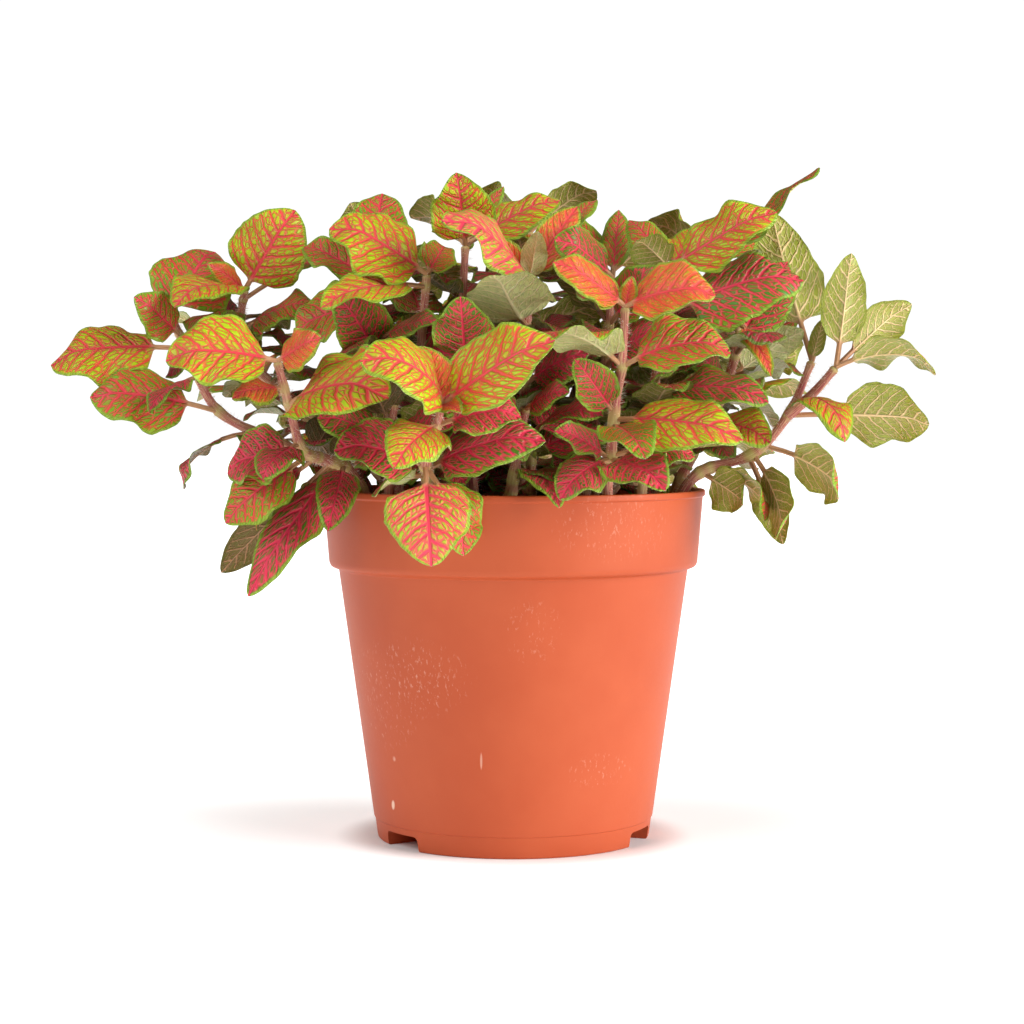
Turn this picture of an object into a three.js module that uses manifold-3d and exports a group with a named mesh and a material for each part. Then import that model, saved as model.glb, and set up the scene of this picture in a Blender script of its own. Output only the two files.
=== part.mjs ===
// A nerve plant in a 12 cm grower's pot: a thin plastic pot, the compost in it, and the leafy stems that
// stand in the compost. Millimetres, +Z up, the front towards -Y. The origin is on the flat underside of the
// pot's floor, in its middle.
import * as THREE from "three";
import { mergeVertices } from "three/addons/utils/BufferGeometryUtils.js";
import Module from "manifold-3d";

const wasm = await Module();
wasm.setup();

// Pot
const POT_HEIGHT = 109;
const RIM_RADIUS = 60;
const FOOT_RADIUS = 42.6;
const WALL = 1.4;
const FLOOR = 1.8;
const LIP_HEIGHT = 1.8;
const LIP_STEP = 0.7; // how far the lip stands out from the collar
const BAND_HEIGHT = 23.5; // the deep collar under the rim
const BAND_STEP = 3; // how far the collar stands out from the wall
const FOOT_HEIGHT = 6.5; // up to the fine step round the wall
const FOOT_STEP = 0.35;
const POT_SIDES = 40;
const WALL_SLOPE = 0.141; // the wall's lean, radius over height
const NOTCHES = { first: -53, count: 3, width: 16, height: 4.6, depth: 14, drain: 3 }; // first: its turn
const DRAIN_INSET = 4;
const PAST = 4; // how far a cut runs past what it cuts

// Compost
const SOIL_TOP = 97;
const SOIL_GAP = 0.3;
const SOIL_LUMP = 1.2;
const SOIL_RIPPLES = [0.31, 0.27]; // radians in a millimetre, across and from front to back
const SOIL_SIDES = 24;
const ROOTED = 13; // how deep a stem stands in its hole
const HOLE_CLEARANCE = 0.45;

// Stems and leaves
const STEM_FOOT_RADIUS = 2.1;
const STEM_TIP_RADIUS = 1.3;
const STEM_SIDES = 4;
const STEM_RINGS = 1.3; // for each stretch of the route
const PETIOLE_HALF = 0.85;
const BLADE_THICKNESS = 0.75;
const PETIOLE_THICKNESS = 1.5;
const TIP_HALF = 0.5;
const LARGE_LEAF = 37; // from this length on a blade has one row of points more
const LARGE_STATIONS = [0.2, 0.52, 0.83]; // from the blade's foot, 0, to its tip, 1
const SMALL_STATIONS = [0.28, 0.7];
const LONG_PETIOLE = 0.2; // a shorter petiole widens into its blade at once
const WIDEST_SHARE = 0.92; // a blade's greatest width over its chord
const EDGE_ON = 0.62; // the least share of its width that a leaf is taken to show
const CREASE = 0.25; // how far a blade rises beside its midrib, over its half width
const CUP = [-0.22, 0.18]; // how far it rises at its edges
const WAVE = [0.1, 0.24];
const WAVES = 1.6; // along each edge
const WAVE_RISE = 4; // how soon they start
const TAPER = [0.68, 0.82]; // below 1 a blade is widest nearer its foot
const FULLNESS = 0.72; // below 1 its outline is rounder than a sine
const DEGREE = Math.PI / 180;

// The front of the plant is set out as it is seen from VIEW_DISTANCE away at VIEW_HEIGHT: a point given as
// [x, z, depth] stands on the line of sight through (x, z) in the plane of the pot's axis.
const VIEW_DISTANCE = 737;
const VIEW_HEIGHT = 135;

// Each plant holds one shoot or more. A shoot's route starts at its foot in the compost, or on its parent
// shoot, and passes the points given. Its leaves are [where on the route, tip, width as seen, [turn from the
// front, tilt up] of the upper face, bend of the midrib in degrees, share of the length that is petiole].
const FRONT_PLANTS = {
  left_reach: [
    {
      foot: [-42, -6],
      route: [[-54, 114, -8], [-70, 122, -10], [-92, 133, -14], [-101, 150, -12], [-107, 163, -8]],
      leaves: [
        [0.49, [-106, 110, -20], 11, [-80, 40], 70, 0.35],
        [0.6, [-132, 140, -32], 19, [0, 30], 30, 0.27],
        [0.73, [-116, 133, -40], 10, [-30, 40], 15, 0.2],
        [0.84, [-146, 152, -16], 18, [0, 50], 18, 0.22],
        [0.9, [-117, 169, -24], 14, [0, 25], 10, 0.15],
        [1, [-93, 188, 4], 27, [-8, 15], 25, 0.12],
      ],
    },
  ],
  left_upper: [
    {
      foot: [-28, 6],
      route: [[-52, 124, 14], [-80, 146, 8], [-85, 160, 2], [-84, 171, -2]],
      leaves: [
        [0.5, [-92, 150, -22], 14, [0, 60], 30, 0.2],
        [0.72, [-62, 168, -10], 14, [0, 60], 30, 0.2],
        [0.93, [-54, 186, 0], 10, [0, 80], 20, 0.25],
        [1, [-67, 194, 6], 25, [5, 15], 12, 0.12],
        [1, [-108, 165, -28], 18, [0, 62], 35, 0.12],
        [1, [-95, 179, -14], 8, [20, 20], 10, 0.1],
      ],
    },
  ],
  left_front: [
    {
      foot: [-41, -18],
      route: [[-50, 113, -28], [-58, 118, -38], [-66, 121, -46], [-70, 134, -54], [-74, 149, -58]],
      leaves: [
        [0.28, [-58, 97, -64], 13, [10, 30], 45, 0.2],
        [0.32, [-84, 76, -54], 14, [-10, 25], 18, 0.15],
        [0.34, [-67, 94, -34], 11, [-60, 20], 30, 0.2],
        [0.37, [-92, 83, -32], 13, [175, 20], 20, 0.3],
        [0.48, [-83, 97, -38], 11, [-60, 30], 30, 0.2],
        [0.54, [-92, 100, -52], 16, [0, 32], 25, 0.2],
        [0.6, [-91, 115, -42], 16, [-50, 30], 25, 0.2],
        [0.64, [-79, 114, -66], 13, [-20, 30], 25, 0.2],
        [0.82, [-44, 145, -86], 27, [0, 42], 32, 0.15],
        [0.89, [-88, 139, -64], 9, [0, 55], 12, 0.15],
        [1, [-109, 152, -68], 20, [0, 42], 25, 0.1],
        [1, [-62, 157, -66], 14, [0, 35], -12, 0.1],
      ],
    },
  ],
  front_centre: [
    {
      foot: [-25, -42],
      route: [[-27, 113, -48], [-27.5, 117, -58], [-24.5, 127, -66], [-22.5, 135, -70]],
      leaves: [
        [0.25, [-45, 104, -64], 10, [150, 25], 30, 0.2],
        [0.3, [15, 120, -60], 16, [0, 42], 35, 0.15],
        [0.45, [-57, 120, -68], 17, [0, 42], 28, 0.2],
        [0.47, [-26, 82, -79], 25, [0, 25], 45, 0.28],
        [0.44, [-12, 89, -69], 16, [25, 35], 35, 0.25],
        [0.8, [-37, 118, -94], 18, [0, 30], 25, 0.12],
        [0.8, [2, 134, -74], 14, [0, 50], 25, 0.2],
        [1, [-54, 146, -88], 18, [0, 38], 75, 0.1],
        [1, [11, 157, -86], 21, [0, 32], 15, 0.1],
        [1, [-26, 154, -75], 15, [0, 8], 5, 0.08],
        [1, [-17, 134, -84], 7, [0, 30], 10, 0.08],
      ],
    },
  ],
  front_low: [
    {
      foot: [-3, -36],
      route: [[0, 112, -42], [2, 124, -44], [4, 134, -46]],
      leaves: [
        [0.38, [17, 98, -66], 10, [30, 42], 55, 0.2],
        [0.7, [-17, 131, -56], 16, [0, 40], 20, 0.15],
        [1, [17, 139, -58], 10, [0, 40], 15, 0.15],
      ],
    },
  ],
  right_centre: [
    {
      foot: [28, -41],
      route: [[29.5, 112, -46], [30.5, 118, -50], [32, 136, -54], [34, 147, -56], [35, 166, -58]],
      leaves: [
        [0.4, [48, 108, -76], 18, [0, 35], 25, 0.15],
        [0.4, [13, 104, -68], 14, [-10, 35], 42, 0.2],
        [0.4, [14, 128, -62], 9, [0, 40], 15, 0.2],
        [0.42, [56, 124, -60], 13, [0, 55], 20, 0.2],
        [0.52, [41, 121, -86], 16, [0, 35], 20, 0.12],
        [0.54, [72, 125, -72], 17, [0, 40], 22, 0.15],
        [0.56, [20, 149, -64], 13, [-10, 20], 12, 0.15],
        [0.8, [8, 158, -78], 16, [180, 80], 50, 0.15],
        [0.8, [69, 154, -62], 15, [0, 48], 55, 0.15],
        [1, [13.5, 181, -66], 11, [0, 40], 12, 0.1],
        [1, [63, 172, -68], 16, [0, 42], 35, 0.1],
        [1, [37, 175, -62], 5.5, [0, 20], 5, 0.08],
      ],
    },
  ],
  right_upper: [
    {
      foot: [38, -18],
      route: [[41, 120, -22], [43.5, 137, -28], [46, 155, -30], [49, 178, -30]],
      leaves: [
        [0.42, [61, 132, -44], 14, [0, 45], 30, 0.2],
        [0.52, [80, 138, -50], 13, [0, 45], 40, 0.2],
        [0.56, [49, 147, -48], 10, [0, 30], 20, 0.2],
        [0.7, [57, 158, -44], 9, [0, 35], 15, 0.2],
        [0.84, [92, 174, -36], 20, [0, 38], 40, 0.2],
        [1, [81, 197, -42], 16, [0, 38], 10, 0.12],
        [1, [38, 188, -36], 16, [170, 38], 25, 0.12],
        [1, [60, 191, -18], 12, [0, 50], 20, 0.12],
        [1, [36, 194, -20], 11, [0, 30], 15, 0.12],
      ],
    },
  ],
  right_middle: [
    {
      foot: [46, -4],
      route: [[57, 122, -8], [66, 140, -18], [70, 155, -24], [69, 172, -26]],
      leaves: [
        [0.36, [80, 125, -32], 15, [0, 30], 25, 0.2],
        [0.5, [58, 152, -30], 12, [0, 30], 20, 0.2],
        [0.55, [90, 159, -14], 14, [180, 20], 15, 0.2],
        [0.75, [86, 181, -18], 18, [0, 18], 10, 0.15],
        [0.85, [81, 145, -44], 7, [10, 50], 25, 0.2],
        [0.95, [56, 161, -34], 13, [180, 35], 20, 0.15],
        [1, [76, 184, -32], 8, [170, 20], 10, 0.12],
      ],
    },
  ],
  right_reach: [
    {
      foot: [47, -12],
      route: [[57, 113, -16], [75, 120, -18], [86, 132, -20], [93.5, 149, -18]],
      leaves: [
        [0.28, [64, 96, -28], 14, [175, 20], 30, 0.2],
        [0.32, [80, 99, -32], 11, [150, 60], 55, 0.2],
        [0.48, [81, 90, -22], 10, [170, 20], 30, 0.25],
        [0.5, [88, 93, -34], 11, [150, 40], 40, 0.2],
        [0.56, [105, 107, -34], 15, [120, 30], 50, 0.3],
        [0.75, [131, 131, -30], 19, [180, 30], 15, 0.38],
        [0.78, [105, 125, -50], 14, [20, 55], 90, 0.2],
        [1, [80, 194, 8], 21, [180, 12], 22, 0.28],
        [1, [97, 162, -20], 5, [150, 20], 5, 0.1],
      ],
    },
    {
      route: [[86, 132, -20], [94, 139, -24], [101, 147, -28]],
      leaves: [
        [1, [104, 181, -16], 14, [180, 8], -20, 0.2],
        [1, [124, 167, -12], 14, [180, 25], 10, 0.25],
        [1, [134, 147.5, -36], 13, [180, 70], 60, 0.15],
      ],
    },
  ],
  centre_top: [
    {
      foot: [3, -12],
      route: [[3, 125, -18], [4, 150, -26], [5, 174, -32]],
      leaves: [
        [0.55, [22, 152, -40], 15, [10, 30], 20, 0.2],
        [0.8, [-6, 179, -62], 25, [175, 35], -25, 0.2],
        [1, [-28, 187, -54], 20, [0, 48], 25, 0.1],
        [1, [-3, 191, -38], 9, [0, 15], 8, 0.1],
        [1, [8, 190, -42], 8, [175, 10], 8, 0.1],
        [1, [20, 198, -24], 12, [0, 25], 10, 0.12],
        [1, [26, 200, -14], 6, [0, 60], 20, 0.6],
      ],
    },
  ],
  centre_left_top: [
    {
      foot: [-12, -10],
      route: [[-14, 125, -12], [-16, 155, -12], [-15, 185, -10]],
      leaves: [
        [0.6, [-26, 160, -42], 16, [0, 25], 20, 0.2],
        [1, [14, 201, -10], 13, [0, 50], 12, 0.12],
        [1, [-24, 203, -30], 19, [0, 25], 15, 0.12],
        [1, [-3, 204, 4], 7, [0, 30], 10, 0.12],
        [1, [-30, 196, 14], 16, [170, 50], 20, 0.12],
      ],
    },
  ],
  left_top: [
    {
      foot: [-25, -20],
      route: [[-28, 125, -26], [-29, 150, -32], [-27, 176, -34]],
      leaves: [
        [0.6, [-10, 156, -50], 14, [0, 25], 20, 0.2],
        [0.95, [-60, 168, -60], 13, [0, 48], 32, 0.2],
        [1, [-56, 193, -42], 20, [0, 48], 15, 0.1],
        [1, [-16, 190, -16], 12, [30, 40], 15, 0.1],
      ],
    },
  ],
  left_middle: [
    {
      foot: [-37, -14],
      route: [[-41, 124, -20], [-42, 150, -26], [-44, 174, -26]],
      leaves: [
        [0.35, [-66, 132, -36], 15, [-10, 35], 25, 0.2],
        [0.68, [-54, 169, -44], 18, [0, 15], 10, 0.15],
        [0.74, [-24, 164, -52], 10, [0, 35], 12, 0.25],
        [0.9, [-70, 158, -24], 15, [-10, 48], 30, 0.2],
        [1, [-41, 203, -12], 20, [0, 25], 15, 0.12],
        [1, [-66, 186, -14], 12, [-30, 50], 20, 0.12],
      ],
    },
  ],
  left_low: [
    {
      foot: [-37, -33],
      route: [[-39, 113, -40], [-39, 124, -46], [-37, 136, -50]],
      leaves: [
        [0.62, [-58, 134, -64], 16, [0, 35], 22, 0.2],
        [0.66, [-20, 128, -60], 12, [0, 35], 22, 0.2],
        [1, [-46, 154, -58], 13, [0, 20], 10, 0.15],
      ],
    },
  ],
  centre_low: [
    {
      foot: [-12, -30],
      route: [[-13, 118, -38], [-14, 135, -46], [-15, 149, -50]],
      leaves: [
        [0.66, [-36, 132, -58], 14, [0, 35], 20, 0.2],
        [1, [-16.5, 169, -58], 25, [0, 15], 10, 0.12],
        [1, [6, 152, -60], 12, [10, 30], 15, 0.15],
      ],
    },
  ],
  right_back_top: [
    {
      foot: [20, -8],
      route: [[25, 125, -14], [29, 150, -20], [31, 175, -24]],
      leaves: [
        [0.62, [46, 160, -42], 14, [0, 35], 20, 0.2],
        [0.8, [44, 179, -38], 14, [0, 30], 15, 0.2],
        [1, [15, 188, -40], 16, [0, 32], 15, 0.12],
        [1, [33, 197, -10], 9, [0, 45], 20, 0.12],
        [1, [12, 196, 2], 12, [-30, 50], 20, 0.12],
      ],
    },
  ],
  far_spear: [
    {
      foot: [23, 8],
      route: [[45, 130, 12], [54, 155, 14], [62, 178, 10]],
      leaves: [
        [0.6, [80, 158, 26], 16, [120, 40], 25, 0.2],
        [1, [95, 209, 2], 12, [10, 75], -15, 0.15],
        [1, [44, 194, 22], 15, [160, 50], 20, 0.15],
        [1, [74, 190, 34], 15, [140, 50], 20, 0.15],
      ],
    },
  ],
};

// The rest grows by rule: shoots lean out from their feet in the compost, with pairs of leaves crosswise.
const RULED_PLANTS = [
  {
    name: "back",
    seed: 41,
    feet: [[36, 18], [22, 34], [0, 40], [-21, 37], [-40, 16]],
    reach: [38, 56], // how far the shoot's tip stands out from its foot
    height: [136, 166], // of the shoot's tip
    levels: [0.4, 0.62, 0.83, 1], // where on the shoot its pairs of leaves are
    length: [31, 38],
    wide: 0.68, // a blade's width over its length
    pitch: [-14, 24], // how steeply its leaves rise, from its foot to its tip
  },
  {
    name: "crown",
    seed: 57,
    feet: [[12, 18], [-6, 22], [-16, 8]],
    reach: [20, 32],
    height: [172, 184],
    levels: [0.6, 0.82, 1],
    length: [30, 36],
    wide: 0.68,
    pitch: [-14, 24],
  },
  {
    name: "heart",
    seed: 23,
    feet: [[2, 4]],
    reach: [4, 8],
    height: [188, 192],
    levels: [0.6, 0.82, 1],
    length: [28, 32],
    wide: 0.68,
    pitch: [-10, 30],
  },
  {
    name: "under",
    seed: 73,
    feet: [[-33, -25], [-18, -29], [5, -25]],
    reach: [5, 9],
    height: [120, 132],
    levels: [0.75, 1],
    length: [25, 30],
    wide: 0.72,
    pitch: [-10, 20],
  },
];
const TURN_SPREAD = 16;
const KNEE = { share: 0.45, rise: 0.55 };
const LEAF_SPREAD = 30;
const PITCH_SPREAD = 14;
const LAST_PAIR = 0.82; // its length over that of the others
const OUTWARD = 5; // how far each leaf's tip leans with its shoot
const RULED_TILT = 55;
const RULED_BEND = [25, 45];
const RULED_PETIOLE = 0.18;

// Leaves that have dropped, by their number on the plant.
const DROPPED = { back_2: [5], back_3: [1], back_4: [1], back_5: [0] };

// Leaves that would cross are bent clear of each other, of other stems and of the pot, each about its root.
const CLEARANCE = 2.2; // between the middles of two blades
const KIN_CLEARANCE = 1.2; // between two blades of one plant
const STEM_CLEARANCE = 1.54;
const STEM_NEAR = 1.5; // room above and below a blade beyond that
const ROUNDS = 100;
const LARGEST_STEP = 2; // millimetres in one round
const PATIENCE = 55; // rounds after which a leaf that still touches grows smaller
const SHRINK = 0.985;
const TOUCHING = 0.9; // a lack of room past which two leaves would touch
const SHOWN_GIVE = 0.35; // how far the leaves set out by hand give way to those that grow by rule
const RETURN = 0.05; // how far a leaf springs back to its place in each round
const DEEPEST = 14; // two leaves further into each other than this are on their right sides already
const FUSED_SHARE = 0.35; // leaves of one shoot may touch up to here
const FIRST_SHARE = 0.06; // a leaf may touch any stem up to here
const TIP_SHARE = 1.03; // room past a leaf's tip
const STEM_TIP_SHARE = 1.08;
const EDGE_ROOM = 1;
const LEAST_ARM = 0.4; // a push nearer the root counts as if it came here
const NEARBY = 0.75; // two middles further apart than this share of both lengths can't touch
const MIDDLE = 0.6; // where on a leaf its middle is taken to be
const OWN_ROOM = 9; // a stem's stretch about a leaf's root that the leaf may touch
const STEM_STEPS = 24;
const POT_ROOM = 3;
const RIM_INSIDE = 5;
const OVER_RIM = 6;
const RIM_PUSH = { out: 1.2, up: 0.4 };
const SOIL_PUSH = 1.5;
const SAMPLE_SHARES = [0.12, 0.3, 0.5, 0.7, 0.88, 1];
const SAMPLE_SIDES = [-0.95, -0.5, 0, 0.5, 0.95];

// A repeatable series of draws between 0 and 1.
function series(seed) {
  let state = (seed * 48271) % 2147483647;
  return () => {
    state = (state * 16807) % 2147483647;
    return state / 2147483647;
  };
}

const between = ([low, high], share) => low + (high - low) * share;

// The point seen at (x, z) in the plane of the pot's axis, at the given depth behind that plane.
function seen([x, z, depth]) {
  const scale = 1 + depth / VIEW_DISTANCE;
  return new THREE.Vector3(x * scale, depth, VIEW_HEIGHT + (z - VIEW_HEIGHT) * scale);
}

// The direction that a face looks, from its turn round from the front and its tilt up.
function looking([turn, tilt]) {
  const flat = Math.cos(tilt * DEGREE);
  return new THREE.Vector3(
    Math.sin(turn * DEGREE) * flat,
    -Math.cos(turn * DEGREE) * flat,
    Math.sin(tilt * DEGREE),
  );
}

class Shoot {
  constructor(points, rooted) {
    this.rooted = rooted;
    this.curve = new THREE.CatmullRomCurve3(points, false, "catmullrom", 0.5);
    this.leaves = [];
  }

  at(share) {
    return this.curve.getPoint(share);
  }

  radius(share) {
    return STEM_FOOT_RADIUS + (STEM_TIP_RADIUS - STEM_FOOT_RADIUS) * share;
  }
}

// A leaf hangs from its shoot by its petiole. Its midrib is an arc in the plane of its chord and its face.
class Leaf {
  constructor(shoot, index, { share, tip, width, asSeen, face, bend, petiole }) {
    const draw = series(101 + 17 * index);
    draw();
    this.shoot = shoot;
    this.root = shoot.at(share);
    this.tip = tip;
    this.aim = tip.clone();
    this.chord = this.root.distanceTo(tip);
    this.give = asSeen ? SHOWN_GIVE : 1;
    this.face = looking(face);
    this.bend = bend * DEGREE;
    this.petiole = petiole;
    this.phases = [draw(), draw()];
    this.cup = between(CUP, draw());
    this.wave = between(WAVE, draw());
    this.taper = between(TAPER, draw());
    this.settle();
    const shown = asSeen ? Math.max(EDGE_ON, Math.sqrt(1 - this.side.y ** 2)) : 1;
    this.half = Math.min(width / shown, WIDEST_SHARE * this.chord) / 2;
  }

  settle() {
    this.along = this.tip.clone().sub(this.root).normalize();
    this.tip = this.root.clone().addScaledVector(this.along, this.chord);
    this.up = this.face.clone().addScaledVector(this.along, -this.face.dot(this.along)).normalize();
    this.side = this.along.clone().cross(this.up);
    this.arc = this.chord / (2 * Math.sin(this.bend / 2));
  }

  halfWidth(w) {
    const u = (w - this.petiole) / (1 - this.petiole);
    if (u <= 0) return PETIOLE_HALF;
    if (u >= 1) return TIP_HALF;
    const full = Math.sin(Math.PI * Math.pow(u, this.taper));
    return Math.max(this.half * Math.pow(full, FULLNESS), u < 0.5 ? PETIOLE_HALF : TIP_HALF);
  }

  // How far the blade stands above its midrib, at w along it and v across it, from -1 to 1.
  lift(w, v) {
    const u = (w - this.petiole) / (1 - this.petiole);
    if (u <= 0) return 0;
    const phase = this.phases[v < 0 ? 0 : 1];
    const rise = Math.min(1, WAVE_RISE * u);
    const wave = this.wave * Math.sin(2 * Math.PI * (WAVES * u + phase)) * rise;
    const across = v * v;
    return this.halfWidth(w) * ((this.cup + wave) * across + CREASE * (Math.abs(v) - across));
  }

  outwardAt(w) {
    const angle = this.bend * (w - 0.5);
    return this.along.clone().multiplyScalar(Math.sin(angle)).addScaledVector(this.up, Math.cos(angle));
  }

  at(w, v, above = 0) {
    const angle = this.bend * (w - 0.5);
    return this.root
      .clone()
      .addScaledVector(this.along, this.chord / 2 + this.arc * Math.sin(angle))
      .addScaledVector(this.up, this.arc * (Math.cos(angle) - Math.cos(this.bend / 2)))
      .addScaledVector(this.side, v * this.halfWidth(w))
      .addScaledVector(this.outwardAt(w), this.lift(w, v) + above);
  }

  // Where a point lies in the leaf's own terms: along it, across it in millimetres, and above the blade.
  place(point) {
    const from = point.clone().sub(this.root);
    const turned = Math.sign(this.arc);
    const ahead = (from.dot(this.along) - this.chord / 2) * turned;
    const high = (from.dot(this.up) + this.arc * Math.cos(this.bend / 2)) * turned;
    const w = (Math.atan2(ahead, high) * turned) / this.bend + 0.5;
    const across = from.dot(this.side);
    const half = this.halfWidth(w);
    const above = (Math.hypot(ahead, high) - Math.abs(this.arc)) * turned;
    return { w, across, half, above: above - this.lift(w, Math.max(-1, Math.min(1, across / half))) };
  }
}

function frontPlants() {
  return Object.entries(FRONT_PLANTS).map(([name, shoots]) => ({
    name,
    shoots: shoots.map(({ foot, route }) => {
      const points = route.map(seen);
      if (foot) points.unshift(new THREE.Vector3(foot[0], foot[1], SOIL_TOP));
      return new Shoot(points, Boolean(foot));
    }),
    rows: shoots.map(({ leaves }) =>
      leaves.map(([share, tip, width, face, bend, petiole]) => ({
        share,
        tip: seen(tip),
        width,
        asSeen: true,
        face,
        bend,
        petiole,
      })),
    ),
  }));
}

// One plant grown by rule: a shoot that leans outwards, with crosswise pairs of leaves.
function ruledPlant(kind, number) {
  const draw = series(kind.seed + 7 * number);
  draw();
  const [x, y] = kind.feet[number];
  const turn = Math.atan2(x, -y) / DEGREE + TURN_SPREAD * (draw() - 0.5);
  const out = looking([turn, 0]);
  const foot = new THREE.Vector3(x, y, SOIL_TOP);
  const top = foot.clone().addScaledVector(out, between(kind.reach, draw()));
  top.z = between(kind.height, draw());
  const knee = foot.clone().lerp(top, KNEE.share);
  knee.z = between([foot.z, top.z], KNEE.rise);
  const shoot = new Shoot([foot, knee, top], true);
  const rows = kind.levels.flatMap((share, level) =>
    [0, 180].map((opposite) => {
      const length = between(kind.length, draw()) * (share < 1 ? 1 : LAST_PAIR);
      const crosswise = (level % 2 === 0 ? 90 : 0) + opposite;
      const spread = turn + crosswise + LEAF_SPREAD * (draw() - 0.5);
      const heading = looking([spread, between(kind.pitch, share) + PITCH_SPREAD * draw()]);
      return {
        share,
        tip: shoot.at(share).addScaledVector(heading, length).addScaledVector(out, OUTWARD),
        width: kind.wide * length,
        face: [turn, RULED_TILT],
        bend: between(RULED_BEND, draw()),
        petiole: RULED_PETIOLE,
      };
    }),
  );
  return { name: kind.name + "_" + (number + 1), shoots: [shoot], rows: [rows] };
}

function growPlants() {
  const plants = frontPlants();
  for (const kind of RULED_PLANTS) {
    kind.feet.forEach((_, number) => plants.push(ruledPlant(kind, number)));
  }
  let index = 0;
  for (const plant of plants) {
    plant.shoots.forEach((shoot, n) => {
      shoot.leaves = plant.rows[n].map((row) => new Leaf(shoot, index++, row));
    });
    plant.leaves = plant.shoots.flatMap((shoot) => shoot.leaves);
    plant.leaves.forEach((leaf) => (leaf.plant = plant));
  }
  return plants;
}

const SAMPLES = SAMPLE_SHARES.flatMap((w) => SAMPLE_SIDES.map((v) => [w, v]));

// Which side of the other leaf a leaf lies on, judged by both so that they agree.
function sideOf(leaf, other) {
  const mine = other.place(leaf.at(MIDDLE, 0)).above;
  const theirs = leaf.place(other.at(MIDDLE, 0)).above;
  const alike = leaf.outwardAt(MIDDLE).dot(other.outwardAt(MIDDLE)) < 0 ? -1 : 1;
  return mine - alike * theirs < 0 ? -1 : 1;
}

function pushApart(leaf, other, moves) {
  const kin = leaf.plant === other.plant;
  const free = kin ? FUSED_SHARE : 0;
  const clearance = kin ? KIN_CLEARANCE : CLEARANCE;
  const side = sideOf(leaf, other);
  let worst = 0;
  let found = null;
  for (const [w, v] of SAMPLES) {
    if (w < free) continue;
    const local = other.place(leaf.at(w, v));
    if (local.w < free || local.w > TIP_SHARE || Math.abs(local.across) > local.half + EDGE_ROOM) continue;
    const lack = clearance - side * local.above;
    if (lack > worst && lack < DEEPEST) {
      worst = lack;
      found = { w, local };
    }
  }
  if (!found) return;
  if (worst > TOUCHING && !kin) leaf.crowded = true;
  const push = other.outwardAt(found.local.w).multiplyScalar(side * Math.min(worst, LARGEST_STEP));
  const share = leaf.give / (leaf.give + other.give);
  moves.get(leaf).push(push.clone().multiplyScalar(share / Math.max(found.w, LEAST_ARM)));
  moves.get(other).push(push.clone().multiplyScalar((share - 1) / Math.max(found.local.w, LEAST_ARM)));
}

function pushOffStem(leaf, shoot, moves) {
  const own = leaf.plant.shoots.includes(shoot);
  let worst = 0;
  let found = null;
  for (let i = 0; i <= STEM_STEPS; i++) {
    const share = i / STEM_STEPS;
    const point = shoot.at(share);
    if (own && point.distanceTo(leaf.root) < OWN_ROOM) continue;
    const local = leaf.place(point);
    if (local.w < (own ? FUSED_SHARE : FIRST_SHARE) || local.w > STEM_TIP_SHARE) continue;
    const room = shoot.radius(share) + STEM_CLEARANCE;
    const inside = local.half + room - Math.abs(local.across);
    const near = room + STEM_NEAR - Math.abs(local.above);
    if (inside <= 0 || near <= 0) continue;
    const lack = Math.min(inside, near * 2);
    if (lack > worst) {
      worst = lack;
      found = { local, inside, near };
    }
  }
  if (!found) return;
  if (worst > TOUCHING && !own) leaf.crowded = true;
  const { local, inside, near } = found;
  const step = Math.min(LARGEST_STEP, worst) / Math.max(local.w, LEAST_ARM);
  const push =
    inside < 3 * near
      ? leaf.side.clone().multiplyScalar(-(Math.sign(local.across) || 1) * step)
      : leaf.outwardAt(local.w).multiplyScalar(-(Math.sign(local.above) || 1) * step);
  moves.get(leaf).push(push);
}

function pushOffPot(leaf, moves) {
  for (const [w, v] of SAMPLES) {
    const point = leaf.at(w, v);
    const radius = Math.hypot(point.x, point.y);
    if (point.z > POT_HEIGHT + POT_ROOM || radius > RIM_RADIUS + POT_ROOM) continue;
    if (radius < RIM_RADIUS - RIM_INSIDE && point.z > SOIL_TOP + POT_ROOM) continue;
    const push =
      radius > RIM_RADIUS - OVER_RIM
        ? new THREE.Vector3(point.x, point.y, 0).multiplyScalar(RIM_PUSH.out / radius).setZ(RIM_PUSH.up)
        : new THREE.Vector3(0, 0, SOIL_PUSH);
    moves.get(leaf).push(push.divideScalar(Math.max(w, LEAST_ARM)));
  }
}

function bendClear(plants) {
  const leaves = plants.flatMap((plant) => plant.leaves);
  const shoots = plants.flatMap((plant) => plant.shoots);
  for (let round = 0; round < ROUNDS; round++) {
    const moves = new Map(leaves.map((leaf) => [leaf, []]));
    const middles = leaves.map((leaf) => leaf.at(MIDDLE, 0));
    leaves.forEach((leaf, i) => {
      leaves.forEach((other, j) => {
        if (i === j || middles[i].distanceTo(middles[j]) > NEARBY * (leaf.chord + other.chord)) return;
        pushApart(leaf, other, moves);
      });
      shoots.forEach((shoot) => pushOffStem(leaf, shoot, moves));
      pushOffPot(leaf, moves);
    });
    for (const [leaf, pushes] of moves) {
      if (round < PATIENCE) leaf.tip.lerp(leaf.aim, RETURN);
      const total = new THREE.Vector3();
      pushes.forEach((push) => total.add(push));
      const strength = Math.sqrt(Math.max(1, pushes.length));
      leaf.tip.add(total.divideScalar(strength).clampLength(0, LARGEST_STEP));
      if (leaf.crowded && round >= PATIENCE) {
        leaf.chord *= SHRINK;
        leaf.half *= SHRINK;
      }
      leaf.crowded = false;
      leaf.settle();
    }
  }
}

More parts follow.
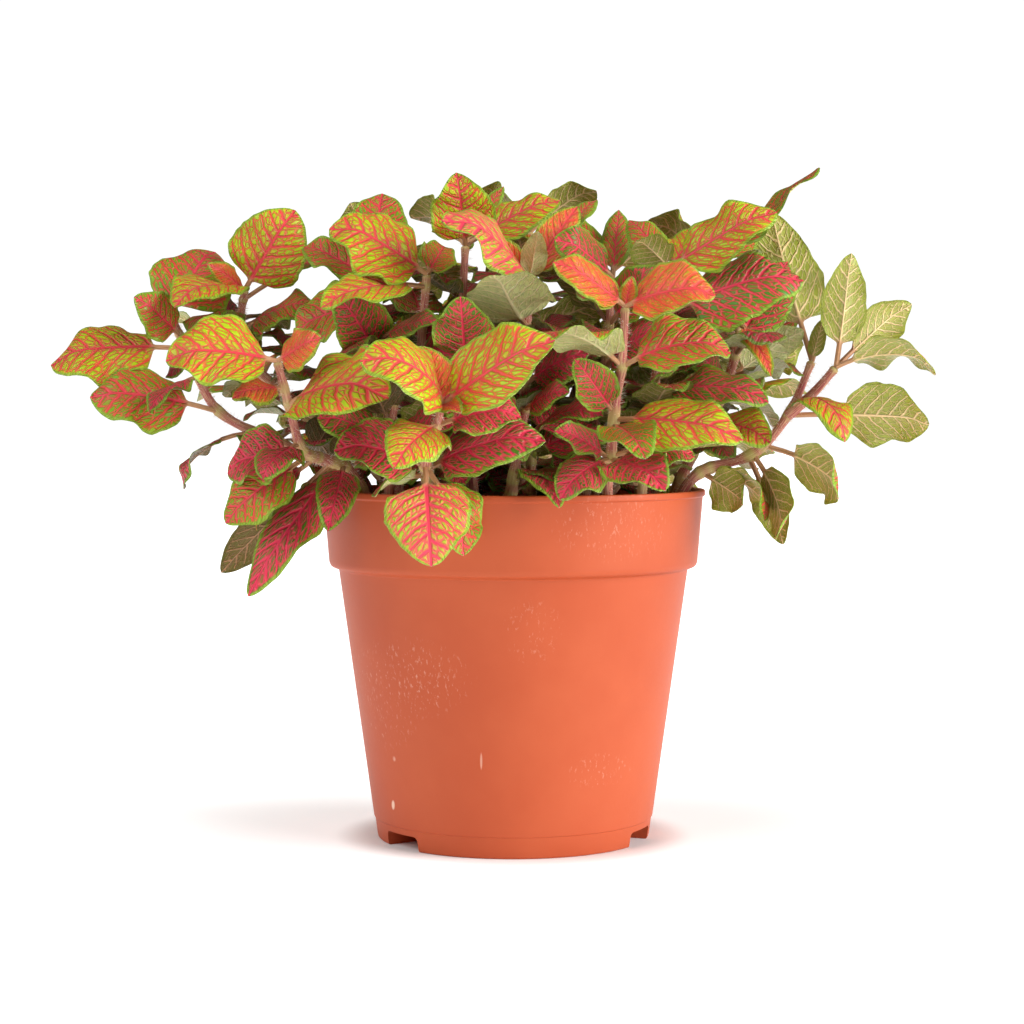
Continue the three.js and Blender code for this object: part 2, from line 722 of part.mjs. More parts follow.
function solidOf(geometry) {
  const bare = geometry.clone();
  bare.deleteAttribute("normal");
  bare.deleteAttribute("uv");
  const merged = mergeVertices(bare, 1e-4);
  const vertProperties = merged.attributes.position.array;
  const build = (triVerts) => new wasm.Manifold(new wasm.Mesh({ numProp: 3, vertProperties, triVerts }));
  const triVerts = new Uint32Array(merged.index.array);
  const made = build(triVerts);
  return made.volume() > 0 ? made : build(triVerts.reverse());
}

function closedSolid(points, triangles) {
  const geometry = new THREE.BufferGeometry();
  const numbers = points.flatMap((point) => [point.x, point.y, point.z]);
  geometry.setAttribute("position", new THREE.Float32BufferAttribute(numbers, 3));
  geometry.setIndex(triangles.flat());
  return solidOf(geometry);
}

function geometryOf(solid) {
  const mesh = solid.getMesh();
  const points = new Float32Array(mesh.numVert * 3);
  for (let i = 0; i < mesh.numVert; i++) {
    points.set(mesh.vertProperties.subarray(i * mesh.numProp, i * mesh.numProp + 3), i * 3);
  }
  const geometry = new THREE.BufferGeometry();
  geometry.setAttribute("position", new THREE.BufferAttribute(points, 3));
  geometry.setIndex(new THREE.BufferAttribute(mesh.triVerts, 1));
  geometry.computeVertexNormals();
  return geometry;
}

// The triangles between two rows of points, given each row's first index and its count.
function strip(from, fromCount, to, toCount) {
  const triangles = [];
  let i = 0;
  let j = 0;
  while (i < fromCount - 1 || j < toCount - 1) {
    const behind = j < toCount - 1 && (i === fromCount - 1 || j * (fromCount - 1) <= i * (toCount - 1));
    if (behind) {
      triangles.push([from + i, to + j + 1, to + j]);
      j++;
    } else {
      triangles.push([from + i, from + i + 1, to + j]);
      i++;
    }
  }
  return triangles;
}

// The blade and its petiole as one thin plate, split into triangles alike on both faces, with a wall round it.
function leafSolid(leaf) {
  const stations = leaf.chord < LARGE_LEAF ? SMALL_STATIONS : LARGE_STATIONS;
  const blade = stations.map((u) => leaf.petiole + u * (1 - leaf.petiole));
  const stalk = leaf.petiole < LONG_PETIOLE ? [0] : [0, leaf.petiole];
  const rows = [
    ...stalk.map((w) => [-1, 1].map((v) => [w, v])),
    ...blade.map((w) => [-1, 0, 1].map((v) => [w, v])),
    [[1, 0]],
  ];
  const plan = rows.flat();
  const firsts = rows.map((_, r) => rows.slice(0, r).flat().length);
  const face = rows.slice(1).flatMap((row, r) => {
    return strip(firsts[r], rows[r].length, firsts[r + 1], row.length);
  });
  const rightEdge = rows.map((row, r) => firsts[r] + row.length - 1);
  const outline = [...rightEdge, ...firsts.slice(0, -1).reverse()];
  const under = plan.length;
  const triangles = face.flatMap(([a, b, c]) => [[a, b, c], [c + under, b + under, a + under]]);
  outline.forEach((a, k) => {
    const b = outline[(k + 1) % outline.length];
    triangles.push([a, a + under, b + under], [a, b + under, b]);
  });
  const thick = (w) => (w <= leaf.petiole ? PETIOLE_THICKNESS : BLADE_THICKNESS) / 2;
  const points = [1, -1].flatMap((above) => plan.map(([w, v]) => leaf.at(w, v, above * thick(w))));
  return closedSolid(points, triangles);
}

function ringAround(centre, direction, radius) {
  const across = new THREE.Vector3(0, 1, 0).cross(direction).normalize();
  const other = direction.clone().cross(across);
  return Array.from({ length: STEM_SIDES }, (_, k) => {
    const angle = (2 * Math.PI * k) / STEM_SIDES;
    return centre
      .clone()
      .addScaledVector(across, radius * Math.cos(angle))
      .addScaledVector(other, radius * Math.sin(angle));
  });
}

// A stem is a tube of rings along its route. Its foot goes straight down into its hole.
function stemSolid(shoot) {
  const steps = Math.ceil(STEM_RINGS * (shoot.curve.points.length - 1));
  const upright = new THREE.Vector3(0, 0, 1);
  const feet = shoot.rooted ? [SOIL_TOP - ROOTED, SOIL_TOP + SOIL_LUMP] : [];
  const rings = feet.map((z) => ringAround(shoot.at(0).setZ(z), upright, shoot.radius(0)));
  for (let i = shoot.rooted ? 1 : 0; i <= steps; i++) {
    const share = i / steps;
    rings.push(ringAround(shoot.at(share), shoot.curve.getTangent(share), shoot.radius(share)));
  }
  const triangles = [];
  for (let i = 0; i + 1 < rings.length; i++) {
    for (let k = 0; k < STEM_SIDES; k++) {
      const [a, b] = [i * STEM_SIDES + k, i * STEM_SIDES + ((k + 1) % STEM_SIDES)];
      triangles.push([a, b, b + STEM_SIDES], [a, b + STEM_SIDES, a + STEM_SIDES]);
    }
  }
  const last = (rings.length - 1) * STEM_SIDES;
  for (let k = 1; k < STEM_SIDES - 1; k++) triangles.push([0, k + 1, k], [last, last + k, last + k + 1]);
  return closedSolid(rings.flat(), triangles);
}

function plantSolid(plant) {
  return [...plant.shoots.map(stemSolid), ...plant.leaves.map(leafSolid)].reduce((all, one) => all.add(one));
}

// A solid turned from a closed profile of [radius, height] points.
function turnedGeometry(profile, sides) {
  const outline = profile.map(([radius, height]) => new THREE.Vector2(radius, height));
  return new THREE.LatheGeometry(outline, sides).rotateX(Math.PI / 2);
}

// A block across a radius of the pot, from near to far off its axis, turned round from the front.
function block(width, [near, far], [bottom, top], turn) {
  const box = new THREE.BoxGeometry(width, far - near, top - bottom);
  box.translate(0, -(near + far) / 2, (bottom + top) / 2);
  return solidOf(box.rotateZ(turn * DEGREE));
}

const bandFoot = POT_HEIGHT - BAND_HEIGHT;
const wallAt = (z) => FOOT_RADIUS + WALL_SLOPE * z;
const shoulder = wallAt(bandFoot);
const notchTurns = Array.from({ length: NOTCHES.count }, (_, k) => {
  return NOTCHES.first + (k * 360) / NOTCHES.count;
});

// The pot is turned from one profile. A notch in its foot is a recess under a raised bit of floor with a drain.
function potSolid() {
  const profile = [
    [0, 0],
    [FOOT_RADIUS, 0],
    [wallAt(FOOT_HEIGHT), FOOT_HEIGHT],
    [wallAt(FOOT_HEIGHT) + FOOT_STEP, FOOT_HEIGHT + 0.3],
    [shoulder, bandFoot - 1.2],
    [shoulder + BAND_STEP - 0.6, bandFoot - 0.4],
    [shoulder + BAND_STEP, bandFoot + 0.8],
    [RIM_RADIUS - LIP_STEP, POT_HEIGHT - LIP_HEIGHT - 0.4],
    [RIM_RADIUS, POT_HEIGHT - LIP_HEIGHT],
    [RIM_RADIUS, POT_HEIGHT],
    [RIM_RADIUS - WALL - 0.4, POT_HEIGHT],
    [shoulder + BAND_STEP - WALL, bandFoot + 2],
    [shoulder - WALL, bandFoot - 1.6],
    [wallAt(FLOOR) - WALL, FLOOR],
    [0, FLOOR],
  ];
  let pot = solidOf(turnedGeometry(profile, POT_SIDES));
  const { width, height, depth, drain } = NOTCHES;
  const back = FOOT_RADIUS - depth;
  for (const turn of notchTurns) {
    const inset = back + DRAIN_INSET;
    pot = pot.add(block(width + 2 * WALL, [back - WALL, FOOT_RADIUS - 1.3], [0.2, height + WALL], turn));
    pot = pot.subtract(block(width, [back, FOOT_RADIUS + PAST], [-PAST, height], turn));
    pot = pot.subtract(block(width / 2, [inset, inset + drain], [height - 1, height + PAST], turn));
  }
  return pot;
}

// The compost fills the pot up to a lumpy top and has a plain hole for each stem.
function soilSolid(plants) {
  const inner = (z) => wallAt(z) - WALL - 2 * SOIL_GAP;
  const bottom = FLOOR + SOIL_GAP;
  const profile = [
    [0, bottom],
    [inner(bottom), bottom],
    [inner(bandFoot - 2), bandFoot - 2],
    [shoulder + 0.7, bandFoot + 3.5],
    [shoulder + 1.4, SOIL_TOP - 1.5],
    [42, SOIL_TOP],
    [21, SOIL_TOP],
    [0, SOIL_TOP],
  ];
  const lathe = turnedGeometry(profile, SOIL_SIDES);
  const points = lathe.attributes.position;
  for (let i = 0; i < points.count; i++) {
    const [x, y, z] = [points.getX(i), points.getY(i), points.getZ(i)];
    const lump = SOIL_LUMP * Math.sin(x * SOIL_RIPPLES[0] + 1) * Math.cos(y * SOIL_RIPPLES[1]);
    if (z > SOIL_TOP - 0.5) points.setZ(i, z + lump);
  }
  let soil = solidOf(lathe);
  const { width, height, depth } = NOTCHES;
  const around = WALL + SOIL_GAP;
  for (const turn of notchTurns) {
    const reach = [FOOT_RADIUS - depth - around, FOOT_RADIUS + PAST];
    soil = soil.subtract(block(width + 2 * around, reach, [0, height + around], turn));
  }
  const radius = STEM_FOOT_RADIUS + HOLE_CLEARANCE;
  const top = SOIL_TOP + PAST;
  const hollow = top - SOIL_TOP + ROOTED + SOIL_GAP;
  for (const plant of plants) {
    const { x, y } = plant.shoots[0].at(0);
    const hole = new THREE.CylinderGeometry(radius, radius, hollow, STEM_SIDES);
    hole.rotateX(Math.PI / 2).rotateZ(Math.PI / 2).translate(x, y, top - hollow / 2);
    soil = soil.subtract(solidOf(hole));
  }
  return soil;
}

function finish(color, roughness) {
  return new THREE.MeshStandardMaterial({ color, roughness, metalness: 0 });
}

const POT_PLASTIC = finish(0xcf6640, 0.55);
const COMPOST = finish(0x2b211b, 1);
const LEAF_GREEN = finish(0xc9683f, 0.5);

function part(name, solid, material) {
  const mesh = new THREE.Mesh(geometryOf(solid), material);
  mesh.name = name;
  return mesh;
}

const plants = growPlants();
bendClear(plants);
for (const plant of plants) {
  plant.leaves = plant.leaves.filter((_, number) => !DROPPED[plant.name]?.includes(number));
}

const pottedPlant = new THREE.Group();
pottedPlant.add(part("pot", potSolid(), POT_PLASTIC));
pottedPlant.add(part("soil", soilSolid(plants), COMPOST));
for (const plant of plants) pottedPlant.add(part("stem_" + plant.name, plantSolid(plant), LEAF_GREEN));

export default pottedPlant;
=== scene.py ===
"""A nerve plant in its pot, dressed: veined leaves, downy stems, crumbly compost and a moulded pot.

Plant sizes are in millimetres, as they grow, and are turned into metres as each mesh is made. The leaves are
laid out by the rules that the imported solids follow, so each fine leaf lies where its solid does.
"""

import logging
import math
from dataclasses import dataclass, field
from enum import Enum
from functools import partialmethod
from typing import Callable, Iterable, Sequence

import bpy
import numpy as np
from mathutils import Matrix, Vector, noise


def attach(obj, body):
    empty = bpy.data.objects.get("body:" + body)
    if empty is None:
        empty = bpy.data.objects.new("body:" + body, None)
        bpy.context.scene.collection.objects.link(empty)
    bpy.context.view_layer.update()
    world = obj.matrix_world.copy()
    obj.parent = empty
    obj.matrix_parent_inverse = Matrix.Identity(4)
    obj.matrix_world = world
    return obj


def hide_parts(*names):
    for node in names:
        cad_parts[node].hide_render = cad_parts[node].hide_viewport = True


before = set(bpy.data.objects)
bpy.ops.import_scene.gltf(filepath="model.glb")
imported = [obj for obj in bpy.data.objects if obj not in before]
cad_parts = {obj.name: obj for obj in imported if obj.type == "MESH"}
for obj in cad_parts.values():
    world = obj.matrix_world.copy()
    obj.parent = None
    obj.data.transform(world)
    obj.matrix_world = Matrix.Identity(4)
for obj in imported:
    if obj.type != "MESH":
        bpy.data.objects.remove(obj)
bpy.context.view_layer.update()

log = logging.getLogger("nerve_plant")

# Short names for the types that recur
Array = np.ndarray
Piece = bpy.types.Object
Pair = tuple[float, float]
Triple = tuple[float, float, float]
Color = tuple[float, float, float, float]

MM = 0.001
BODY = "root"

# How near vertices are merged, in metres, and the share of an edge that a rounding may take
SAME_SPOT = 1e-6
MOST_ROUNDED = 0.49

# Leaves and stems as the solids have them, their lengths in millimetres
SOIL_TOP = 97.0
ROOTED = 13.0
POT_HEIGHT = 109.0
RIM_RADIUS = 60.0
STEM_FOOT_RADIUS = 2.1
STEM_TIP_RADIUS = 1.3
PETIOLE_HALF = 0.85
TIP_HALF = 0.5
WIDEST_SHARE = 0.92
EDGE_ON = 0.62
CREASE = 0.25
CUP = (-0.22, 0.18)
WAVE = (0.1, 0.24)
WAVES = 1.6
WAVE_RISE = 4.0
TAPER = (0.68, 0.82)
FULLNESS = 0.72
LEAF_SEED = 101
LEAF_SEED_STEP = 17
LENGTH_STEPS = 60
STRIDE = 0.01
TINY = 1e-9

# The front of the plant is set out as it is seen from VIEW_DISTANCE away at VIEW_HEIGHT: a point given as
# (x, z, depth) stands on the line of sight through (x, z) in the plane of the pot's axis.
VIEW_DISTANCE = 737.0
VIEW_HEIGHT = 135.0


@dataclass(frozen=True)
class Shoot:
    """One shoot that the photograph shows: where it passes, its leaves, and its foot if it has its own."""

    route: list[Triple]
    leaves: list[tuple]
    foot: Pair | None = None


# Each plant holds one shoot or more. A leaf is (where on the route, tip, width as seen, (turn from the front,
# tilt up) of the upper face, bend in degrees, share that is petiole, tone).
FRONT_PLANTS: dict[str, list[Shoot]] = {
    "left_reach": [Shoot(foot=(-42, -6), route=[
        (-54, 114, -8), (-70, 122, -10), (-92, 133, -14), (-101, 150, -12), (-107, 163, -8),
    ], leaves=[
        (0.49, (-106, 110, -20), 11, (-80, 40), 70, 0.35, "C"),
        (0.6, (-132, 140, -32), 19, (0, 30), 30, 0.27, "M"),
        (0.73, (-116, 133, -40), 10, (-30, 40), 15, 0.2, "C"),
        (0.84, (-146, 152, -16), 18, (0, 50), 18, 0.22, "L"),
        (0.9, (-117, 169, -24), 14, (0, 25), 10, 0.15, "M"),
        (1, (-93, 188, 4), 27, (-8, 15), 25, 0.12, "M"),
    ])],
    "left_upper": [Shoot(foot=(-28, 6), route=[
        (-52, 124, 14), (-80, 146, 8), (-85, 160, 2), (-84, 171, -2),
    ], leaves=[
        (0.5, (-92, 150, -22), 14, (0, 60), 30, 0.2, "D"),
        (0.72, (-62, 168, -10), 14, (0, 60), 30, 0.2, "M"),
        (0.93, (-54, 186, 0), 10, (0, 80), 20, 0.25, "M"),
        (1, (-67, 194, 6), 25, (5, 15), 12, 0.12, "L"),
        (1, (-108, 165, -28), 18, (0, 62), 35, 0.12, "L"),
        (1, (-95, 179, -14), 8, (20, 20), 10, 0.1, "Y"),
    ])],
    "left_front": [Shoot(foot=(-41, -18), route=[
        (-50, 113, -28), (-58, 118, -38), (-66, 121, -46), (-70, 134, -54), (-74, 149, -58),
    ], leaves=[
        (0.28, (-58, 97, -64), 13, (10, 30), 45, 0.2, "C"),
        (0.32, (-84, 76, -54), 14, (-10, 25), 18, 0.15, "C"),
        (0.34, (-67, 94, -34), 11, (-60, 20), 30, 0.2, "D"),
        (0.37, (-92, 83, -32), 13, (175, 20), 20, 0.3, "D"),
        (0.48, (-83, 97, -38), 11, (-60, 30), 30, 0.2, "C"),
        (0.54, (-92, 100, -52), 16, (0, 32), 25, 0.2, "M"),
        (0.6, (-91, 115, -42), 16, (-50, 30), 25, 0.2, "C"),
        (0.64, (-79, 114, -66), 13, (-20, 30), 25, 0.2, "C"),
        (0.82, (-44, 145, -86), 27, (0, 42), 32, 0.15, "L"),
        (0.89, (-88, 139, -64), 9, (0, 55), 12, 0.15, "Y"),
        (1, (-109, 152, -68), 20, (0, 42), 25, 0.1, "L"),
        (1, (-62, 157, -66), 14, (0, 35), -12, 0.1, "Y"),
    ])],
    "front_centre": [Shoot(foot=(-25, -42), route=[
        (-27, 113, -48), (-27.5, 117, -58), (-24.5, 127, -66), (-22.5, 135, -70),
    ], leaves=[
        (0.25, (-45, 104, -64), 10, (150, 25), 30, 0.2, "D"),
        (0.3, (15, 120, -60), 16, (0, 42), 35, 0.15, "C"),
        (0.45, (-57, 120, -68), 17, (0, 42), 28, 0.2, "C"),
        (0.47, (-26, 82, -79), 25, (0, 25), 45, 0.28, "P"),
        (0.44, (-12, 89, -69), 16, (25, 35), 35, 0.25, "M"),
        (0.8, (-37, 118, -94), 18, (0, 30), 25, 0.12, "L"),
        (0.8, (2, 134, -74), 14, (0, 50), 25, 0.2, "C"),
        (1, (-54, 146, -88), 18, (0, 38), 75, 0.1, "L"),
        (1, (11, 157, -86), 21, (0, 32), 15, 0.1, "L"),
        (1, (-26, 154, -75), 15, (0, 8), 5, 0.08, "Y"),
        (1, (-17, 134, -84), 7, (0, 30), 10, 0.08, "Y"),
    ])],
    "front_low": [Shoot(foot=(-3, -36), route=[
        (0, 112, -42), (2, 124, -44), (4, 134, -46),
    ], leaves=[
        (0.38, (17, 98, -66), 10, (30, 42), 55, 0.2, "C"),
        (0.7, (-17, 131, -56), 16, (0, 40), 20, 0.15, "C"),
        (1, (17, 139, -58), 10, (0, 40), 15, 0.15, "C"),
    ])],
    "right_centre": [Shoot(foot=(28, -41), route=[
        (29.5, 112, -46), (30.5, 118, -50), (32, 136, -54), (34, 147, -56), (35, 166, -58),
    ], leaves=[
        (0.4, (48, 108, -76), 18, (0, 35), 25, 0.15, "C"),
        (0.4, (13, 104, -68), 14, (-10, 35), 42, 0.2, "C"),
        (0.4, (14, 128, -62), 9, (0, 40), 15, 0.2, "C"),
        (0.42, (56, 124, -60), 13, (0, 55), 20, 0.2, "D"),
        (0.52, (41, 121, -86), 16, (0, 35), 20, 0.12, "G"),
        (0.54, (72, 125, -72), 17, (0, 40), 22, 0.15, "L"),
        (0.56, (20, 149, -64), 13, (-10, 20), 12, 0.15, "D"),
        (0.8, (8, 158, -78), 16, (180, 80), 50, 0.15, "M"),
        (0.8, (69, 154, -62), 15, (0, 48), 55, 0.15, "M"),
        (1, (13.5, 181, -66), 11, (0, 40), 12, 0.1, "Y"),
        (1, (63, 172, -68), 16, (0, 42), 35, 0.1, "Y"),
        (1, (37, 175, -62), 5.5, (0, 20), 5, 0.08, "Y"),
    ])],
    "right_upper": [Shoot(foot=(38, -18), route=[
        (41, 120, -22), (43.5, 137, -28), (46, 155, -30), (49, 178, -30),
    ], leaves=[
        (0.42, (61, 132, -44), 14, (0, 45), 30, 0.2, "C"),
        (0.52, (80, 138, -50), 13, (0, 45), 40, 0.2, "D"),
        (0.56, (49, 147, -48), 10, (0, 30), 20, 0.2, "D"),
        (0.7, (57, 158, -44), 9, (0, 35), 15, 0.2, "D"),
        (0.84, (92, 174, -36), 20, (0, 38), 40, 0.2, "D"),
        (1, (81, 197, -42), 16, (0, 38), 10, 0.12, "L"),
        (1, (38, 188, -36), 16, (170, 38), 25, 0.12, "M"),
        (1, (60, 191, -18), 12, (0, 50), 20, 0.12, "L"),
        (1, (36, 194, -20), 11, (0, 30), 15, 0.12, "M"),
    ])],
    "right_middle": [Shoot(foot=(46, -4), route=[
        (57, 122, -8), (66, 140, -18), (70, 155, -24), (69, 172, -26),
    ], leaves=[
        (0.36, (80, 125, -32), 15, (0, 30), 25, 0.2, "L"),
        (0.5, (58, 152, -30), 12, (0, 30), 20, 0.2, "D"),
        (0.55, (90, 159, -14), 14, (180, 20), 15, 0.2, "M"),
        (0.75, (86, 181, -18), 18, (0, 18), 10, 0.15, "D"),
        (0.85, (81, 145, -44), 7, (10, 50), 25, 0.2, "Y"),
        (0.95, (56, 161, -34), 13, (180, 35), 20, 0.15, "M"),
        (1, (76, 184, -32), 8, (170, 20), 10, 0.12, "M"),
    ])],
    "right_reach": [Shoot(foot=(47, -12), route=[
        (57, 113, -16), (75, 120, -18), (86, 132, -20), (93.5, 149, -18),
    ], leaves=[
        (0.28, (64, 96, -28), 14, (175, 20), 30, 0.2, "M"),
        (0.32, (80, 99, -32), 11, (150, 60), 55, 0.2, "M"),
        (0.48, (81, 90, -22), 10, (170, 20), 30, 0.25, "M"),
        (0.5, (88, 93, -34), 11, (150, 40), 40, 0.2, "M"),
        (0.56, (105, 107, -34), 15, (120, 30), 50, 0.3, "M"),
        (0.75, (131, 131, -30), 19, (180, 30), 15, 0.38, "M"),
        (0.78, (105, 125, -50), 14, (20, 55), 90, 0.2, "L"),
        (1, (80, 194, 8), 21, (180, 12), 22, 0.28, "M"),
        (1, (97, 162, -20), 5, (150, 20), 5, 0.1, "P"),
    ]), Shoot(route=[
        (86, 132, -20), (94, 139, -24), (101, 147, -28),
    ], leaves=[
        (1, (104, 181, -16), 14, (180, 8), -20, 0.2, "M"),
        (1, (124, 167, -12), 14, (180, 25), 10, 0.25, "M"),
        (1, (134, 147.5, -36), 13, (180, 70), 60, 0.15, "Y"),
    ])],
    "centre_top": [Shoot(foot=(3, -12), route=[
        (3, 125, -18), (4, 150, -26), (5, 174, -32),
    ], leaves=[
        (0.55, (22, 152, -40), 15, (10, 30), 20, 0.2, "C"),
        (0.8, (-6, 179, -62), 25, (175, 35), -25, 0.2, "M"),
        (1, (-28, 187, -54), 20, (0, 48), 25, 0.1, "P"),
        (1, (-3, 191, -38), 9, (0, 15), 8, 0.1, "Y"),
        (1, (8, 190, -42), 8, (175, 10), 8, 0.1, "Y"),
        (1, (20, 198, -24), 12, (0, 25), 10, 0.12, "Y"),
        (1, (26, 200, -14), 6, (0, 60), 20, 0.6, "M"),
    ])],
    "centre_left_top": [Shoot(foot=(-12, -10), route=[
        (-14, 125, -12), (-16, 155, -12), (-15, 185, -10),
    ], leaves=[
        (0.6, (-26, 160, -42), 16, (0, 25), 20, 0.2, "D"),
        (1, (14, 201, -10), 13, (0, 50), 12, 0.12, "L"),
        (1, (-24, 203, -30), 19, (0, 25), 15, 0.12, "L"),
        (1, (-3, 204, 4), 7, (0, 30), 10, 0.12, "M"),
        (1, (-30, 196, 14), 16, (170, 50), 20, 0.12, "M"),
    ])],
    "left_top": [Shoot(foot=(-25, -20), route=[
        (-28, 125, -26), (-29, 150, -32), (-27, 176, -34),
    ], leaves=[
        (0.6, (-10, 156, -50), 14, (0, 25), 20, 0.2, "C"),
        (0.95, (-60, 168, -60), 13, (0, 48), 32, 0.2, "L"),
        (1, (-56, 193, -42), 20, (0, 48), 15, 0.1, "L"),
        (1, (-16, 190, -16), 12, (30, 40), 15, 0.1, "M"),
    ])],
    "left_middle": [Shoot(foot=(-37, -14), route=[
        (-41, 124, -20), (-42, 150, -26), (-44, 174, -26),
    ], leaves=[
        (0.35, (-66, 132, -36), 15, (-10, 35), 25, 0.2, "D"),
        (0.68, (-54, 169, -44), 18, (0, 15), 10, 0.15, "D"),
        (0.74, (-24, 164, -52), 10, (0, 35), 12, 0.25, "D"),
        (0.9, (-70, 158, -24), 15, (-10, 48), 30, 0.2, "M"),
        (1, (-41, 203, -12), 20, (0, 25), 15, 0.12, "M"),
        (1, (-66, 186, -14), 12, (-30, 50), 20, 0.12, "M"),
    ])],
    "left_low": [Shoot(foot=(-37, -33), route=[
        (-39, 113, -40), (-39, 124, -46), (-37, 136, -50),
    ], leaves=[
        (0.62, (-58, 134, -64), 16, (0, 35), 22, 0.2, "D"),
        (0.66, (-20, 128, -60), 12, (0, 35), 22, 0.2, "C"),
        (1, (-46, 154, -58), 13, (0, 20), 10, 0.15, "D"),
    ])],
    "centre_low": [Shoot(foot=(-12, -30), route=[
        (-13, 118, -38), (-14, 135, -46), (-15, 149, -50),
    ], leaves=[
        (0.66, (-36, 132, -58), 14, (0, 35), 20, 0.2, "C"),
        (1, (-16.5, 169, -58), 25, (0, 15), 10, 0.12, "D"),
        (1, (6, 152, -60), 12, (10, 30), 15, 0.15, "C"),
    ])],
    "right_back_top": [Shoot(foot=(20, -8), route=[
        (25, 125, -14), (29, 150, -20), (31, 175, -24),
    ], leaves=[
        (0.62, (46, 160, -42), 14, (0, 35), 20, 0.2, "C"),
        (0.8, (44, 179, -38), 14, (0, 30), 15, 0.2, "D"),
        (1, (15, 188, -40), 16, (0, 32), 15, 0.12, "D"),
        (1, (33, 197, -10), 9, (0, 45), 20, 0.12, "M"),
        (1, (12, 196, 2), 12, (-30, 50), 20, 0.12, "M"),
    ])],
    "far_spear": [Shoot(foot=(23, 8), route=[
        (45, 130, 12), (54, 155, 14), (62, 178, 10),
    ], leaves=[
        (0.6, (80, 158, 26), 16, (120, 40), 25, 0.2, "D"),
        (1, (95, 209, 2), 12, (10, 75), -15, 0.15, "G"),
        (1, (44, 194, 22), 15, (160, 50), 20, 0.15, "M"),
        (1, (74, 190, 34), 15, (140, 50), 20, 0.15, "M"),
    ])],
}


@dataclass(frozen=True)
class Habit:
    """How a kind of shoot grows that isn't set out leaf by leaf."""

    name: str
    seed: int
    feet: tuple[Pair, ...]
    reach: Pair
    height: Pair
    levels: tuple[float, ...]
    length: Pair
    wide: float
    pitch: Pair
    tones: str


HABITS = (
    Habit(
        name="back", seed=41,
        feet=((36, 18), (22, 34), (0, 40), (-21, 37), (-40, 16)),
        reach=(38, 56), height=(136, 166), levels=(0.4, 0.62, 0.83, 1), length=(31, 38),
        wide=0.68, pitch=(-14, 24), tones="CMLLMPDLMY",
    ),
    Habit(
        name="crown", seed=57,
        feet=((12, 18), (-6, 22), (-16, 8)),
        reach=(20, 32), height=(172, 184), levels=(0.6, 0.82, 1), length=(30, 36),
        wide=0.68, pitch=(-14, 24), tones="LMPLYM",
    ),
    Habit(
        name="heart", seed=23,
        feet=((2, 4),),
        reach=(4, 8), height=(188, 192), levels=(0.6, 0.82, 1), length=(28, 32),
        wide=0.68, pitch=(-10, 30), tones="MLPY",
    ),
    Habit(
        name="under", seed=73,
        feet=((-33, -25), (-18, -29), (5, -25)),
        reach=(5, 9), height=(120, 132), levels=(0.75, 1), length=(25, 30),
        wide=0.72, pitch=(-10, 20), tones="CDC",
    ),
)
SEED_STEP = 7
TONE_STEP = 3
TURN_SPREAD = 16
KNEE_SHARE = 0.45
KNEE_RISE = 0.55
LEAF_SPREAD = 30
PITCH_SPREAD = 14
LAST_PAIR = 0.82
OUTWARD = 5
RULED_TILT = 55
RULED_BEND = (25, 45)
RULED_PETIOLE = 0.18

# Leaves that have dropped, by their number on the plant
DROPPED = {"back_2": [5], "back_3": [1], "back_4": [1], "back_5": [0]}

# Leaves that would cross are bent clear of each other, of other stems and of the pot, each about its root.
CLEARANCE = 2.2
KIN_CLEARANCE = 1.2
STEM_CLEARANCE = 1.54
STEM_NEAR = 1.5
HEIGHT_WEIGHT = 2
SIDEWAYS_SHARE = 3
ROUNDS = 100
LARGEST_STEP = 2.0
PATIENCE = 55
SHRINK = 0.985
TOUCHING = 0.9
SHOWN_GIVE = 0.35
RETURN = 0.05
DEEPEST = 14.0
FUSED_SHARE = 0.35
FIRST_SHARE = 0.06
TIP_SHARE = 1.03
STEM_TIP_SHARE = 1.08
EDGE_ROOM = 1.0
LEAST_ARM = 0.4
NEARBY = 0.75
MIDDLE = 0.6
OWN_ROOM = 9.0
STEM_STEPS = 24
POT_ROOM = 3.0
RIM_INSIDE = 5.0
OVER_RIM = 6.0
RIM_PUSH_OUT = 1.2
RIM_PUSH_UP = 0.4
SOIL_PUSH = 1.5
SAMPLE_SHARES = (0.12, 0.3, 0.5, 0.7, 0.88, 1)
SAMPLE_SIDES = (-0.95, -0.5, 0, 0.5, 0.95)


def rgb(red: int, green: int, blue: int) -> Color:
    """A colour as seen on a screen, from 0 to 255, as the linear colour that a shader takes.

    Args:
        red: from 0 to 255.
        green: the same.
        blue: the same.

    Returns:
        The colour as the shaders take it.
    """

    def linear(value: float) -> float:
        """One channel without the screen's curve."""
        share = value / 255
        return share / 12.92 if share <= 0.04045 else ((share + 0.055) / 1.055) ** 2.4

    return (linear(red), linear(green), linear(blue), 1.0)


@dataclass(frozen=True)
class Tint:
    """The colours of one face of a leaf, and how far its net of veins spreads, from 0 to 1."""

    ground: Color
    vein: Color
    spread: float


class Tone(Enum):
    """The looks of a leaf's upper face, from sunlit to shaded and from old to young."""

    LIME = Tint(rgb(180, 206, 26), rgb(237, 80, 62), 0.22)
    MID = Tint(rgb(119, 167, 26), rgb(235, 74, 68), 0.28)
    GREEN = Tint(rgb(93, 152, 31), rgb(237, 91, 57), 0.08)
    PINK = Tint(rgb(180, 204, 51), rgb(250, 76, 95), 0.5)
    DARK = Tint(rgb(76, 128, 29), rgb(235, 65, 81), 0.18)
    CRIMSON = Tint(rgb(78, 122, 33), rgb(237, 54, 88), 0.5)
    YOUNG = Tint(rgb(208, 163, 42), rgb(244, 91, 62), 0.7)


